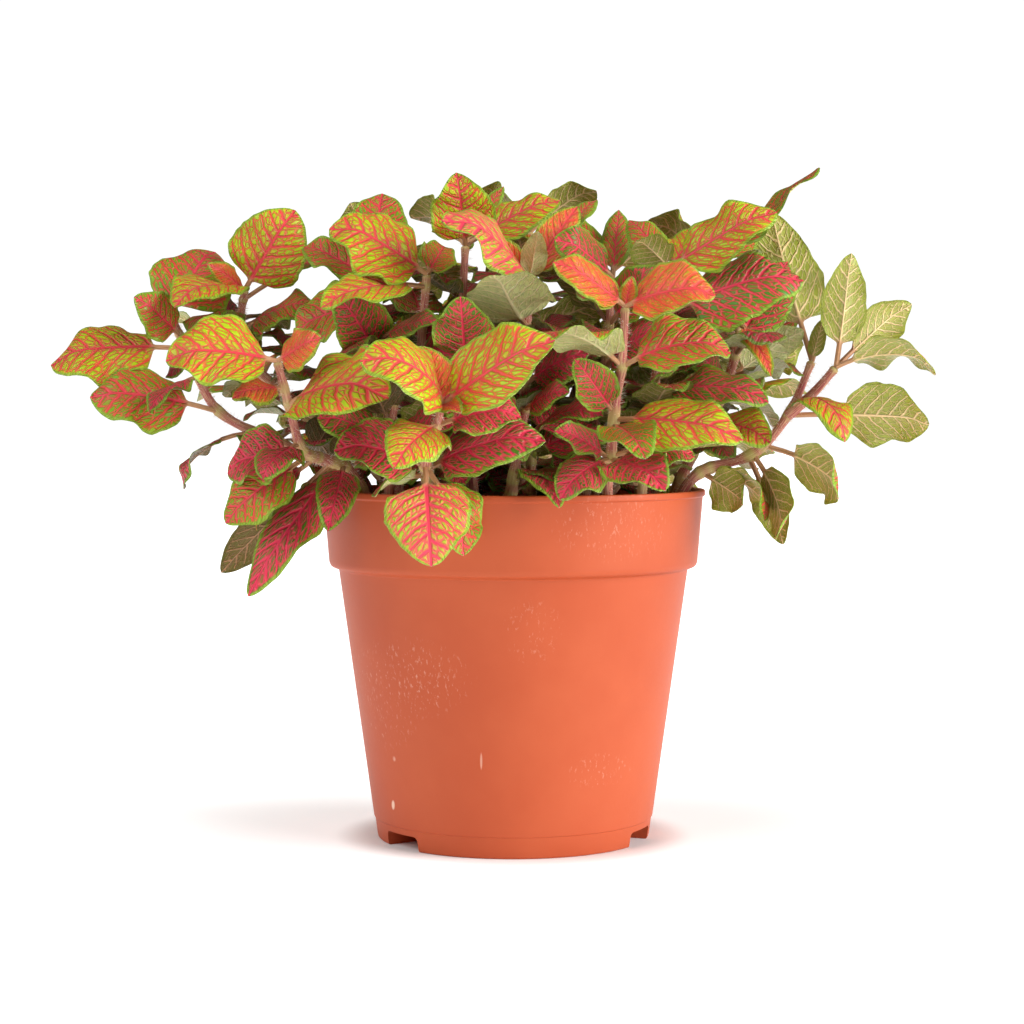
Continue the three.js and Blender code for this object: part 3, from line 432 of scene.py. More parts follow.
class Underside(Enum):
    """The looks of a leaf's lower face."""

    OLIVE = Tint(rgb(164, 172, 70), rgb(248, 217, 161), 0.06)
    PALE = Tint(rgb(218, 226, 150), rgb(250, 241, 187), 0.08)
    DUSKY = Tint(rgb(119, 106, 55), rgb(189, 145, 106), 0.08)


TONE_CODES = {tone.name[0]: tone for tone in Tone}
UNDERSIDES = {
    "left_reach": Underside.DUSKY,
    "left_front": Underside.DUSKY,
    "left_low": Underside.DUSKY,
    "right_centre": Underside.PALE,
    "right_middle": Underside.PALE,
    "centre_top": Underside.PALE,
    "front_centre": Underside.PALE,
}


class Draws:
    """A repeatable series of draws between 0 and 1."""

    FACTOR = 16807
    START_FACTOR = 48271
    LIMIT = 2147483647

    def __init__(self, seed: int) -> None:
        """Starts the series from any whole number above 0."""
        self.state = seed * self.START_FACTOR % self.LIMIT

    def __call__(self) -> float:
        """The next draw."""
        self.state = self.state * self.FACTOR % self.LIMIT
        return self.state / self.LIMIT


def between(span: Sequence[float], share: float) -> float:
    """The value at a share of the way along a span."""
    return span[0] + (span[1] - span[0]) * share


def seen(point: Sequence[float]) -> Array:
    """The point seen at (x, z) in the plane of the pot's axis, at a depth behind that plane.

    Args:
        point: x to the right, height above the ground, and how far it lies behind the pot's middle.

    Returns:
        x, y, z.
    """
    x, z, depth = point
    scale = 1 + depth / VIEW_DISTANCE
    return np.array([x * scale, depth, VIEW_HEIGHT + (z - VIEW_HEIGHT) * scale])


def looking(turn: float, tilt: float) -> Array:
    """The direction that a face looks, from its turn round from the front and its tilt up, in degrees.

    Args:
        turn: degrees to the right of straight to the front.
        tilt: degrees above level.

    Returns:
        A unit vector.
    """
    flat = math.cos(math.radians(tilt))
    side = math.sin(math.radians(turn)) * flat
    return np.array([side, -math.cos(math.radians(turn)) * flat, math.sin(math.radians(tilt))])


def dot(a: Array, b: Array) -> Array:
    """The dot products of two arrays of vectors."""
    return np.einsum("...k,...k->...", a, b)


def unit(vectors: Array) -> Array:
    """Vectors of length 1 in the same directions."""
    return vectors / np.linalg.norm(vectors, axis=-1, keepdims=True)


def smooth(low: float, high: float, values: Array) -> Array:
    """A soft step from 0 at low to 1 at high."""
    share = np.clip((values - low) / (high - low), 0, 1)
    return share * share * (3 - 2 * share)


class Route:
    """The centre line of a shoot: a smooth curve through its points."""

    def __init__(self, points: Iterable[Sequence[float]], rooted: bool, plant: int) -> None:
        """Keeps the points with one more beyond each end.

        Args:
            points: where the curve passes, in millimetres.
            rooted: whether the shoot stands in the compost.
            plant: the number of the plant that it belongs to.
        """
        own = np.array(list(points), float)
        self.stretches = len(own) - 1
        self.knots = np.vstack([2 * own[0] - own[1], own, 2 * own[-1] - own[-2]])
        self.rooted = rooted
        self.plant = plant

    def at(self, share: float | Array) -> Array:
        """The points at shares of the way along the route.

        Args:
            share: from 0 at the foot to 1 at the end, one or many.

        Returns:
            The point or points there.
        """
        reach = np.clip(np.asarray(share, float), 0, 1) * self.stretches
        first = np.minimum(reach.astype(int), self.stretches - 1)
        step = (reach - first)[..., None]
        before, start, end, after = (self.knots[first + k] for k in range(4))
        leave = (end - before) / 2
        arrive = (after - start) / 2
        square = 3 * (end - start) - 2 * leave - arrive
        cube = 2 * (start - end) + leave + arrive
        return start + step * (leave + step * (square + step * cube))

    def length(self) -> float:
        """The route's length in millimetres."""
        line = self.at(np.linspace(0, 1, LENGTH_STEPS))
        return float(np.linalg.norm(np.diff(line, axis=0), axis=1).sum())

    def axes(self, share: Array) -> tuple[Array, Array, Array]:
        """The directions along the route and square to it.

        Args:
            share: from 0 at the foot to 1 at the end, many.

        Returns:
            Along the route, across it, and square to both.
        """
        ahead = unit(self.at(np.minimum(share + STRIDE, 1)) - self.at(np.maximum(share - STRIDE, 0)))
        across = unit(np.cross((0, 1, 0), ahead))
        return ahead, across, np.cross(ahead, across)

    @staticmethod
    def radius(share: float | Array) -> float | Array:
        """The stem's radius at shares of the way along it."""
        return STEM_FOOT_RADIUS + (STEM_TIP_RADIUS - STEM_FOOT_RADIUS) * share


@dataclass
class LeafPlan:
    """One leaf as it is set out, before it is bent clear of the others."""

    route: Route
    share: float
    tip: Array
    width: float
    as_seen: bool
    face: Pair
    bend: float
    petiole: float
    tone: Tone


@dataclass
class Plant:
    """One plant: its name, its shoots' routes and its leaves."""

    name: str
    routes: list[Route] = field(default_factory=list)
    plans: list[LeafPlan] = field(default_factory=list)


def front_plants() -> list[Plant]:
    """The plants that the photograph shows, as the table sets them out.

    Returns:
        The plants that the photograph shows, in the table's order.
    """
    plants = []
    for number, (name, shoots) in enumerate(FRONT_PLANTS.items()):
        plant = Plant(name)
        for shoot in shoots:
            points = [seen(point) for point in shoot.route]
            if shoot.foot:
                points.insert(0, np.array([*shoot.foot, SOIL_TOP]))
            route = Route(points, bool(shoot.foot), number)
            plant.routes.append(route)
            for share, tip, width, face, bend, petiole, code in shoot.leaves:
                tone = TONE_CODES[code]
                plan = LeafPlan(route, share, seen(tip), width, True, face, bend, petiole, tone)
                plant.plans.append(plan)
        plants.append(plant)
    return plants


def ruled_plant(habit: Habit, number: int, place: int) -> Plant:
    """One plant grown by rule: a shoot that leans outwards, with crosswise pairs of leaves.

    Args:
        habit: the kind of shoot.
        number: which of the habit's feet it stands on.
        place: its number among all plants.

    Returns:
        The plant.
    """
    draw = Draws(habit.seed + SEED_STEP * number)
    draw()
    x, y = habit.feet[number]
    turn = math.degrees(math.atan2(x, -y)) + TURN_SPREAD * (draw() - 0.5)
    out = looking(turn, 0)
    foot = np.array([x, y, SOIL_TOP], float)
    top = foot + out * between(habit.reach, draw())
    top[2] = between(habit.height, draw())
    knee = foot + (top - foot) * KNEE_SHARE
    knee[2] = between((foot[2], top[2]), KNEE_RISE)
    route = Route([foot, knee, top], True, place)
    plant = Plant(f"{habit.name}_{number + 1}", [route])
    for level, share in enumerate(habit.levels):
        for opposite in (0, 180):
            length = between(habit.length, draw()) * (1 if share < 1 else LAST_PAIR)
            crosswise = (90 if level % 2 == 0 else 0) + opposite
            spread = turn + crosswise + LEAF_SPREAD * (draw() - 0.5)
            heading = looking(spread, between(habit.pitch, share) + PITCH_SPREAD * draw())
            tip = route.at(share) + heading * length + out * OUTWARD
            bend = between(RULED_BEND, draw())
            tone = TONE_CODES[habit.tones[(len(plant.plans) + TONE_STEP * number) % len(habit.tones)]]
            face = (turn, RULED_TILT)
            width = habit.wide * length
            plan = LeafPlan(route, share, tip, width, False, face, bend, RULED_PETIOLE, tone)
            plant.plans.append(plan)
    return plant


def grow_plants() -> list[Plant]:
    """All plants, those of the front first.

    Returns:
        The plants in order: those of the table and then those grown by rule.
    """
    plants = front_plants()
    for habit in HABITS:
        for number in range(len(habit.feet)):
            plants.append(ruled_plant(habit, number, len(plants)))
    return plants


class Foliage:
    """All leaves as arrays with one row a leaf.

    A leaf hangs from its shoot by its petiole. Its midrib is an arc in the plane of its chord and its face.
    """

    ROWS = ("plant", "hidden", "root", "tip", "aim", "chord", "give", "face", "bend", "petiole")
    SHAPES = ("phases", "cup", "wave", "taper", "seed", "half", "along", "up", "side", "arc")

    def __init__(self, plans: list[LeafPlan], first: int = 0) -> None:
        """Sets the leaves out as planned.

        Args:
            plans: the leaves in order.
            first: the first leaf's number, which seeds what shapes it.
        """
        self.plans = plans
        self.plant = np.array([plan.route.plant for plan in plans])
        self.hidden = np.full(len(plans), first > 0)
        self.root = np.array([plan.route.at(plan.share) for plan in plans])
        self.tip = np.array([plan.tip for plan in plans])
        self.aim = self.tip.copy()
        self.chord = np.linalg.norm(self.tip - self.root, axis=1)
        self.give = np.array([SHOWN_GIVE if plan.as_seen else 1.0 for plan in plans])
        self.face = np.array([looking(*plan.face) for plan in plans])
        self.bend = np.radians([plan.bend for plan in plans])
        self.petiole = np.array([plan.petiole for plan in plans], float)
        draws = np.array([self._draws(first + number) for number in range(len(plans))])
        self.phases = draws[:, 0:2]
        self.cup = between(CUP, draws[:, 2])
        self.wave = between(WAVE, draws[:, 3])
        self.taper = between(TAPER, draws[:, 4])
        self.seed = draws[:, 5]
        self.settle()
        shown = np.maximum(EDGE_ON, np.sqrt(1 - self.side[:, 1] ** 2))
        shown[self.give == 1.0] = 1.0
        widths = np.array([plan.width for plan in plans]) / shown
        self.half = np.minimum(widths, WIDEST_SHARE * self.chord) / 2

    @staticmethod
    def _draws(number: int) -> list[float]:
        """The draws that shape one leaf.

        Args:
            number: the leaf's number.

        Returns:
            Six draws from 0 to 1.
        """
        draw = Draws(LEAF_SEED + LEAF_SEED_STEP * number)
        draw()
        return [draw() for _ in range(6)]

    def keep(self, wanted: Array) -> None:
        """Drops all leaves but those wanted.

        Args:
            wanted: for each leaf, whether it stays.
        """
        self.plans = [plan for plan, kept in zip(self.plans, wanted) if kept]
        for name in self.ROWS + self.SHAPES:
            setattr(self, name, getattr(self, name)[wanted])

    def add(self, others: "Foliage") -> None:
        """Takes in more leaves after its own.

        Args:
            others: the leaves taken in.
        """
        self.plans = self.plans + others.plans
        for name in self.ROWS + self.SHAPES:
            setattr(self, name, np.concatenate([getattr(self, name), getattr(others, name)]))

    def settle(self) -> None:
        """Works out each leaf's own directions again after its tip or its length has changed."""
        self.along = unit(self.tip - self.root)
        self.tip = self.root + self.along * self.chord[:, None]
        self.up = unit(self.face - self.along * dot(self.face, self.along)[:, None])
        self.side = np.cross(self.along, self.up)
        self.arc = self.chord / (2 * np.sin(self.bend / 2))

    def blade_share(self, i: Array, w: Array) -> Array:
        """The share of the blade that lies behind a share w of the whole leaf."""
        return (w - self.petiole[i]) / (1 - self.petiole[i])

    def half_width(self, i: Array, w: Array) -> Array:
        """Half the leaf's width at w.

        Args:
            i: the leaves' numbers.
            w: the shares along them.

        Returns:
            In millimetres.
        """
        u = self.blade_share(i, w)
        inside = np.clip(u, TINY, 1 - TINY)
        full = np.sin(math.pi * inside ** self.taper[i])
        least = np.where(u < 0.5, PETIOLE_HALF, TIP_HALF)
        width = np.maximum(self.half[i] * np.maximum(full, 0) ** FULLNESS, least)
        return np.where(u <= 0, PETIOLE_HALF, np.where(u >= 1, TIP_HALF, width))

    def lift(self, i: Array, w: Array, v: Array, half: Array) -> Array:
        """How far the blade stands above its midrib, at w along it and v across it, from -1 to 1.

        Args:
            i: the leaves' numbers.
            w: the shares along them.
            v: from -1 at the left edge to 1 at the right.
            half: half the leaf's width there.

        Returns:
            In millimetres.
        """
        u = self.blade_share(i, w)
        phase = np.where(v < 0, self.phases[i, 0], self.phases[i, 1])
        wave = self.wave[i] * np.sin(2 * math.pi * (WAVES * u + phase)) * np.minimum(1, WAVE_RISE * u)
        across = v * v
        height = half * ((self.cup[i] + wave) * across + CREASE * (np.abs(v) - across))
        return np.where(u <= 0, 0, height)

    def outward(self, i: Array, w: Array) -> Array:
        """The direction that the upper face looks at w."""
        angle = (self.bend[i] * (w - 0.5))[..., None]
        return self.along[i] * np.sin(angle) + self.up[i] * np.cos(angle)

    def spot(self, i: Array, w: Array, across: Array, above: Array) -> Array:
        """The point at w along a leaf, so many millimetres across it and above its midrib's arc.

        Args:
            i: the leaves' numbers.
            w: the shares along them.
            across: millimetres to the right of the midrib.
            above: millimetres over the midrib's arc.

        Returns:
            The points.
        """
        angle = self.bend[i] * (w - 0.5)
        ahead = self.chord[i] / 2 + self.arc[i] * np.sin(angle)
        high = self.arc[i] * (np.cos(angle) - np.cos(self.bend[i] / 2))
        start = self.root[i] + self.along[i] * ahead[..., None] + self.up[i] * high[..., None]
        return start + self.side[i] * across[..., None] + self.outward(i, w) * above[..., None]

    def at(self, i: Array, w: Array, v: Array) -> Array:
        """The point on the blade at w along it and v across it."""
        half = self.half_width(i, w)
        return self.spot(i, w, v * half, self.lift(i, w, v, half))

    def place(self, i: Array, points: Array) -> tuple[Array, ...]:
        """Where points lie in a leaf's own terms.

        Args:
            i: the leaves' numbers.
            points: one point for each.

        Returns:
            The share along the leaf, the millimetres across it, half its width there and the height over it.
        """
        away = points - self.root[i]
        turned = np.sign(self.arc[i])
        ahead = (dot(away, self.along[i]) - self.chord[i] / 2) * turned
        high = (dot(away, self.up[i]) + self.arc[i] * np.cos(self.bend[i] / 2)) * turned
        w = np.arctan2(ahead, high) * turned / self.bend[i] + 0.5
        across = dot(away, self.side[i])
        half = self.half_width(i, w)
        above = (np.hypot(ahead, high) - np.abs(self.arc[i])) * turned
        lift = self.lift(i, w, np.clip(across / half, -1, 1), half)
        return w, across, half, above - lift


class Gardener:
    """Bends leaves that would cross clear of each other, of other stems and of the pot."""

    def __init__(self, leaves: Foliage, plants: list[Plant]) -> None:
        """Gets ready for the rounds of bending.

        Args:
            leaves: the leaves, whose tips are moved.
            plants: the plants, whose shoots the leaves keep clear of.
        """
        self.leaves = leaves
        self.everyone = np.arange(len(leaves.chord))
        grid = [(w, v) for w in SAMPLE_SHARES for v in SAMPLE_SIDES]
        self.shares = np.array([w for w, _ in grid], float)
        self.sides = np.array([v for _, v in grid], float)
        routes = [route for plant in plants for route in plant.routes]
        steps = np.linspace(0, 1, STEM_STEPS + 1)
        self.stem_points = np.array([route.at(steps) for route in routes])
        self.stem_radii = Route.radius(steps)
        self.stem_plants = np.array([route.plant for route in routes])

    def push(self, who: Array, pushes: Array) -> None:
        """Notes pushes for leaves."""
        np.add.at(self.moves, who, pushes)
        np.add.at(self.counts, who, 1)

    def feel(self) -> None:
        """Works out all pushes on the leaves as they lie."""
        leaves = self.leaves
        self.moves = np.zeros_like(leaves.tip)
        self.counts = np.zeros(len(leaves.chord))
        self.crowded = np.zeros(len(leaves.chord), bool)
        self.touched = np.zeros(len(leaves.chord), bool)
        whole = self.everyone[:, None]
        self.points = leaves.at(whole, self.shares[None, :], self.sides[None, :])
        middle = np.full(len(leaves.chord), MIDDLE)
        self.middles = leaves.at(self.everyone, middle, np.zeros(len(middle)))
        self.push_apart()
        self.push_off_stems()
        self.push_off_pot()

    def bend_clear(self, held: int = 0) -> None:
        """Runs the rounds: each leaf takes the pushes of all that it touches, and springs back a little.

        Args:
            held: how many leaves, from the first, stay as they are.
        """
        leaves = self.leaves
        moving = self.everyone >= held
        for number in range(ROUNDS):
            self.feel()
            if number < PATIENCE:
                leaves.tip[moving] += (leaves.aim - leaves.tip)[moving] * RETURN
            total = self.moves / np.sqrt(np.maximum(1, self.counts))[:, None]
            size = np.linalg.norm(total, axis=1)
            shorter = np.minimum(size, LARGEST_STEP) / np.where(size > 0, size, 1)
            leaves.tip[moving] += (total * shorter[:, None])[moving]
            if number >= PATIENCE:
                tight = self.crowded & moving
                leaves.chord[tight] *= SHRINK
                leaves.half[tight] *= SHRINK
            leaves.settle()

    def sides_of(self, i: Array, j: Array) -> Array:
        """Which side of leaf j leaf i lies on, judged by both so that they agree.

        Args:
            i: one leaf of each pair.
            j: the other.

        Returns:
            1 where i lies on j's upper side, and -1 where it lies under it.
        """
        leaves = self.leaves
        mine = leaves.place(j, self.middles[i])[3]
        theirs = leaves.place(i, self.middles[j])[3]
        middle = np.full(len(i), MIDDLE)
        facing = dot(leaves.outward(i, middle), leaves.outward(j, middle))
        alike = np.where(facing < 0, -1, 1)
        return np.where(mine - alike * theirs < 0, -1, 1)

    def push_apart(self) -> None:
        """Pushes leaves off each other."""
        leaves = self.leaves
        away = np.linalg.norm(self.middles[:, None] - self.middles[None], axis=2)
        near = away <= NEARBY * (leaves.chord[:, None] + leaves.chord[None])
        np.fill_diagonal(near, False)
        i, j = np.nonzero(near)
        kin = leaves.plant[i] == leaves.plant[j]
        side = self.sides_of(i, j)
        w, across, half, above = leaves.place(j[:, None], self.points[i])
        free = np.where(kin, FUSED_SHARE, 0)[:, None]
        meets = (self.shares[None] >= free) & (w >= free) & (w <= TIP_SHARE)
        meets &= np.abs(across) <= half + EDGE_ROOM
        room = np.where(kin, KIN_CLEARANCE, CLEARANCE)[:, None]
        lack = room - side[:, None] * above
        lack = np.where(meets & (lack > 0) & (lack < DEEPEST), lack, 0)
        best = lack.argmax(axis=1)
        rows = np.arange(len(i))
        worst = lack[rows, best]
        found = worst > 0
        i, j, side, worst, kin = i[found], j[found], side[found], worst[found], kin[found]
        my_share = self.shares[best[found]]
        its_share = w[rows, best][found]
        self.crowded[i[(worst > TOUCHING) & ~kin]] = True
        self.touched[i[worst > TOUCHING]] = True
        self.touched[j[worst > TOUCHING]] = True
        strength = side * np.minimum(worst, LARGEST_STEP)
        push = leaves.outward(j, its_share) * strength[:, None]
        give = leaves.give[i] / (leaves.give[i] + leaves.give[j])
        self.push(i, push * (give / np.maximum(my_share, LEAST_ARM))[:, None])
        self.push(j, push * ((give - 1) / np.maximum(its_share, LEAST_ARM))[:, None])

    def push_off_stems(self) -> None:
        """Pushes leaves off stems, sideways round them or up and down."""
        leaves = self.leaves
        gaps = np.linalg.norm(self.middles[:, None, None] - self.stem_points[None], axis=3).min(axis=2)
        i, r = np.nonzero(gaps < leaves.chord[:, None] + OWN_ROOM)
        own = (leaves.plant[i] == self.stem_plants[r])[:, None]
        points = self.stem_points[r]
        w, across, half, above = leaves.place(i[:, None], points)
        to_root = np.linalg.norm(points - leaves.root[i][:, None], axis=2)
        meets = ~(own & (to_root < OWN_ROOM))
        meets &= (w >= np.where(own, FUSED_SHARE, FIRST_SHARE)) & (w <= STEM_TIP_SHARE)
        room = self.stem_radii[None] + STEM_CLEARANCE
        inside = half + room - np.abs(across)
        near = room + STEM_NEAR - np.abs(above)
        meets &= (inside > 0) & (near > 0)
        lack = np.where(meets, np.minimum(inside, near * HEIGHT_WEIGHT), 0)
        best = lack.argmax(axis=1)
        rows = np.arange(len(i))
        worst = lack[rows, best]
        found = worst > 0
        pick = rows[found], best[found]
        i, own, worst = i[found], own[found, 0], worst[found]
        w, across, above, inside, near = w[pick], across[pick], above[pick], inside[pick], near[pick]
        self.crowded[i[(worst > TOUCHING) & ~own]] = True
        self.touched[i[worst > TOUCHING]] = True
        step = np.minimum(LARGEST_STEP, worst) / np.maximum(w, LEAST_ARM)
        sideways = leaves.side[i] * (-np.where(across < 0, -1, 1) * step)[:, None]
        upwards = leaves.outward(i, w) * (-np.where(above < 0, -1, 1) * step)[:, None]
        self.push(i, np.where((inside < SIDEWAYS_SHARE * near)[:, None], sideways, upwards))

    def push_off_pot(self) -> None:
        """Pushes leaves out over the rim and up off the compost."""
        x, y, z = np.moveaxis(self.points, 2, 0)
        radius = np.hypot(x, y)
        meets = (z <= POT_HEIGHT + POT_ROOM) & (radius <= RIM_RADIUS + POT_ROOM)
        meets &= ~((radius < RIM_RADIUS - RIM_INSIDE) & (z > SOIL_TOP + POT_ROOM))
        outside = radius > RIM_RADIUS - OVER_RIM
        out = RIM_PUSH_OUT / np.maximum(radius, TINY)
        over = np.stack([x * out, y * out, np.full_like(x, RIM_PUSH_UP)], axis=2)
        lifted = np.stack([np.zeros_like(x), np.zeros_like(x), np.full_like(x, SOIL_PUSH)], axis=2)
        push = np.where(outside[..., None], over, lifted)
        push = push / np.maximum(self.shares, LEAST_ARM)[None, :, None]
        who, which = np.nonzero(meets)
        self.push(who, push[who, which])
        self.touched[who] = True


# The plants whose stems the photograph shows, and the share of each above which no undergrowth hides it
BARE_ABOVE = {
    "right_reach": 0.1,
    "right_centre": 0.3,
    "left_reach": 0.45,
    "left_front": 0.35,
    "front_centre": 0.1,
}


@dataclass(frozen=True)
class Undergrowth:
    """Small shaded leaves low on the shoots, which fill the plant out inside."""

    levels: tuple[float, ...] = (0.14, 0.23, 0.33, 0.44, 0.56, 0.68, 0.8, 0.08)
    length: Pair = (20, 28)
    wide: float = 0.74
    pitch: Pair = (-4, 26)
    tilt: Pair = (50, 80)
    bend: Pair = (20, 45)
    petiole: float = 0.2
    spread: float = 40
    tones: str = "CDCCDM"
    seed: int = 301
    first: int = 1000
    least_height: float = 4.0

    def plans(self, plants: list[Plant]) -> list[LeafPlan]:
        """Pairs of leaves on every shoot that stands in the compost.

        Args:
            plants: all plants.

        Returns:
            The leaves, some of which may turn out to have no room.
        """
        plans = []
        draw = Draws(self.seed)
        draw()
        rooted = [(plant, route) for plant in plants for route in plant.routes if route.rooted]
        for plant, route in rooted:
            highest = BARE_ABOVE.get(plant.name, 1.0)
            start = 360 * draw()
            for level, share in enumerate(self.levels):
                root = route.at(share)
                for opposite in (0, 180):
                    turn = start + 90 * level + opposite + self.spread * (draw() - 0.5)
                    length = between(self.length, draw())
                    tip = root + looking(turn, between(self.pitch, draw())) * length
                    face = (turn, between(self.tilt, draw()))
                    bend = between(self.bend, draw())
                    tone = TONE_CODES[self.tones[len(plans) % len(self.tones)]]
                    if root[2] < SOIL_TOP + self.least_height or share > highest:
                        continue
                    width = self.wide * length
                    plans.append(LeafPlan(route, share, tip, width, False, face, bend, self.petiole, tone))
        return plans


def grow_foliage(plants: list[Plant]) -> Foliage:
    """Lays out all leaves clear of each other.

    Args:
        plants: all plants.

    Returns:
        The leaves: those of the solids, as these lie, and then the undergrowth that has room.
    """
    leaves = Foliage([plan for plant in plants for plan in plant.plans])
    Gardener(leaves, plants).bend_clear()
    numbers = [(plant.name, number) for plant in plants for number in range(len(plant.plans))]
    leaves.keep(np.array([number not in DROPPED.get(name, []) for name, number in numbers]))
    held = len(leaves.chord)
    habit = Undergrowth()
    leaves.add(Foliage(habit.plans(plants), habit.first))
    gardener = Gardener(leaves, plants)
    gardener.bend_clear(held)
    gardener.feel()
    leaves.keep(~gardener.touched | (gardener.everyone < held))
    return leaves


def pick(piece: Piece) -> None:
    """Selects one object alone and makes it active.

    Args:
        piece: the object.
    """
    bpy.ops.object.select_all(action="DESELECT")
    piece.select_set(True)
    bpy.context.view_layer.objects.active = piece


def apply_modifiers(piece: Piece) -> None:
    """Applies all of a piece's modifiers in order.

    Args:
        piece: the object.
    """
    pick(piece)
    for modifier in list(piece.modifiers):
        bpy.ops.object.modifier_apply(modifier=modifier.name)


def points_of(piece: Piece) -> Array:
    """A piece's vertices, one row each.

    Args:
        piece: the object.

    Returns:
        One row a vertex.
    """
    flat = np.empty(len(piece.data.vertices) * 3, np.float32)
    piece.data.vertices.foreach_get("co", flat)
    return flat.reshape(-1, 3).astype(float)


def set_points(piece: Piece, points: Array) -> None:
    """Moves a piece's vertices."""
    piece.data.vertices.foreach_set("co", np.ascontiguousarray(points, np.float32).ravel())
    piece.data.update()


def paint(piece: Piece, name: str, values: Array) -> None:
    """Keeps values on a piece's vertices, for its material to read.

    Args:
        piece: a mesh object.
        name: the attribute's name.
        values: one number, vector or colour for each vertex.
    """
    width = values.shape[1] if values.ndim == 2 else 1
    kind, key = {1: ("FLOAT", "value"), 3: ("FLOAT_VECTOR", "vector"), 4: ("FLOAT_COLOR", "color")}[width]
    attribute = piece.data.attributes.new(name, kind, "POINT")
    attribute.data.foreach_set(key, np.ascontiguousarray(values, np.float32).ravel())


def fresh(primitive: Callable[..., object], **form: object) -> Piece:
    """A new object made from one of Blender's plain forms.

    Args:
        primitive: the operator that adds the form.
        form: what the operator is told.

    Returns:
        The new object.
    """
    bpy.ops.object.select_all(action="DESELECT")
    primitive(**form)
    return bpy.context.object


def repeated(template: Piece, count: int, name: str) -> Piece:
    """A new object that holds a template's mesh many times over, one after the other.

    Args:
        template: the object whose mesh is repeated.
        count: how many times.
        name: the new object's name.

    Returns:
        The new object.
    """
    piece = bpy.data.objects.new(name, template.data.copy())
    bpy.context.scene.collection.objects.link(piece)
    array = piece.modifiers.new("row", "ARRAY")
    array.count = count
    array.use_relative_offset = False
    array.use_constant_offset = True
    array.constant_offset_displace = (0, 0, 0)
    apply_modifiers(piece)
    return piece


def finish_mesh(piece: Piece, material: bpy.types.Material, angle: float) -> None:
    """Gives a piece its material and shades it smooth up to an angle in degrees.

    Args:
        piece: the object.
        material: its one material.
        angle: the edges sharper than this stay sharp, in degrees.
    """
    piece.data.materials.clear()
    piece.data.materials.append(material)
    pick(piece)
    bpy.ops.object.shade_smooth_by_angle(angle=math.radians(angle))


def join(pieces: Sequence[Piece], name: str) -> Piece:
    """Joins pieces into one with a new name.

    Args:
        pieces: the objects.
        name: the joined object's name.

    Returns:
        The joined object.
    """
    pick(pieces[0])
    for piece in pieces[1:]:
        piece.select_set(True)
    bpy.ops.object.join()
    joined = bpy.context.view_layer.objects.active
    joined.name = name
    joined.data.name = name
    return joined


def feed(inlet: bpy.types.NodeSocket, value: "Wire | float | Sequence[float]") -> None:
    """Links a wire into a socket, or sets the socket to a plain value.

    Args:
        inlet: the socket.
        value: a number, a colour or a wire.
    """
    if isinstance(value, Wire):
        inlet.id_data.links.new(value.socket, inlet)
    else:
        inlet.default_value = value


def wired(
    tree: bpy.types.NodeTree, kind: str, values: dict, outlet: int | str = 0, **choices: object
) -> "Wire":
    """Adds a node to a tree, sets its choices and feeds its sockets.

    Args:
        tree: the material's or the world's nodes.
        kind: Blender's name for the node.
        values: what each socket takes, by its place or name.
        outlet: the place or name of the output that is wanted.
        choices: the node's own settings.

    Returns:
        The wire from that output.
    """
    node = tree.nodes.new(kind)
    for name, choice in choices.items():
        setattr(node, name, choice)
    for place, value in values.items():
        feed(node.inputs[place], value)
    return Wire(node.outputs[outlet])


class Wire:
    """A value in a node tree that ordinary arithmetic works on."""

    def __init__(self, socket: bpy.types.NodeSocket) -> None:
        """Keeps the output socket that carries the value, and its tree."""
        self.socket = socket
        self.tree = socket.id_data

    def sum(self, operation: str, *others: "Wire | float") -> "Wire":
        """The answer of a Math node's operation, with this value first."""
        return wired(self.tree, "ShaderNodeMath", dict(enumerate((self, *others))), operation=operation)

    __add__ = __radd__ = partialmethod(sum, "ADD")
    __sub__ = partialmethod(sum, "SUBTRACT")
    __mul__ = __rmul__ = partialmethod(sum, "MULTIPLY")
    __truediv__ = partialmethod(sum, "DIVIDE")
    larger = partialmethod(sum, "MAXIMUM")

    def __rsub__(self, other: float) -> "Wire":
        """A number less this value."""
        return (self * -1.0) + other

    def rise(self, low: "Wire | float", high: "Wire | float", start: float = 0.0, end: float = 1.0) -> "Wire":
        """A soft step from start, below low, to end, above high."""
        values = dict(enumerate((self, low, high, start, end)))
        return wired(self.tree, "ShaderNodeMapRange", values, interpolation_type="SMOOTHSTEP")

    def fall(self, low: "Wire | float", high: "Wire | float", start: float = 1.0) -> "Wire":
        """A soft step from start, below low, to 0, above high."""
        return self.rise(low, high, start, 0.0)

    def mix(self, first: "Wire | Sequence[float]", second: "Wire | Sequence[float]") -> "Wire":
        """A blend of two colours, with this value as the second one's share."""
        return wired(self.tree, "ShaderNodeMix", {0: self, 6: first, 7: second}, 2, data_type="RGBA")

    def split(self) -> list["Wire"]:
        """The three parts of a vector."""
        first = wired(self.tree, "ShaderNodeSeparateXYZ", {0: self})
        return [Wire(outlet) for outlet in first.socket.node.outputs]


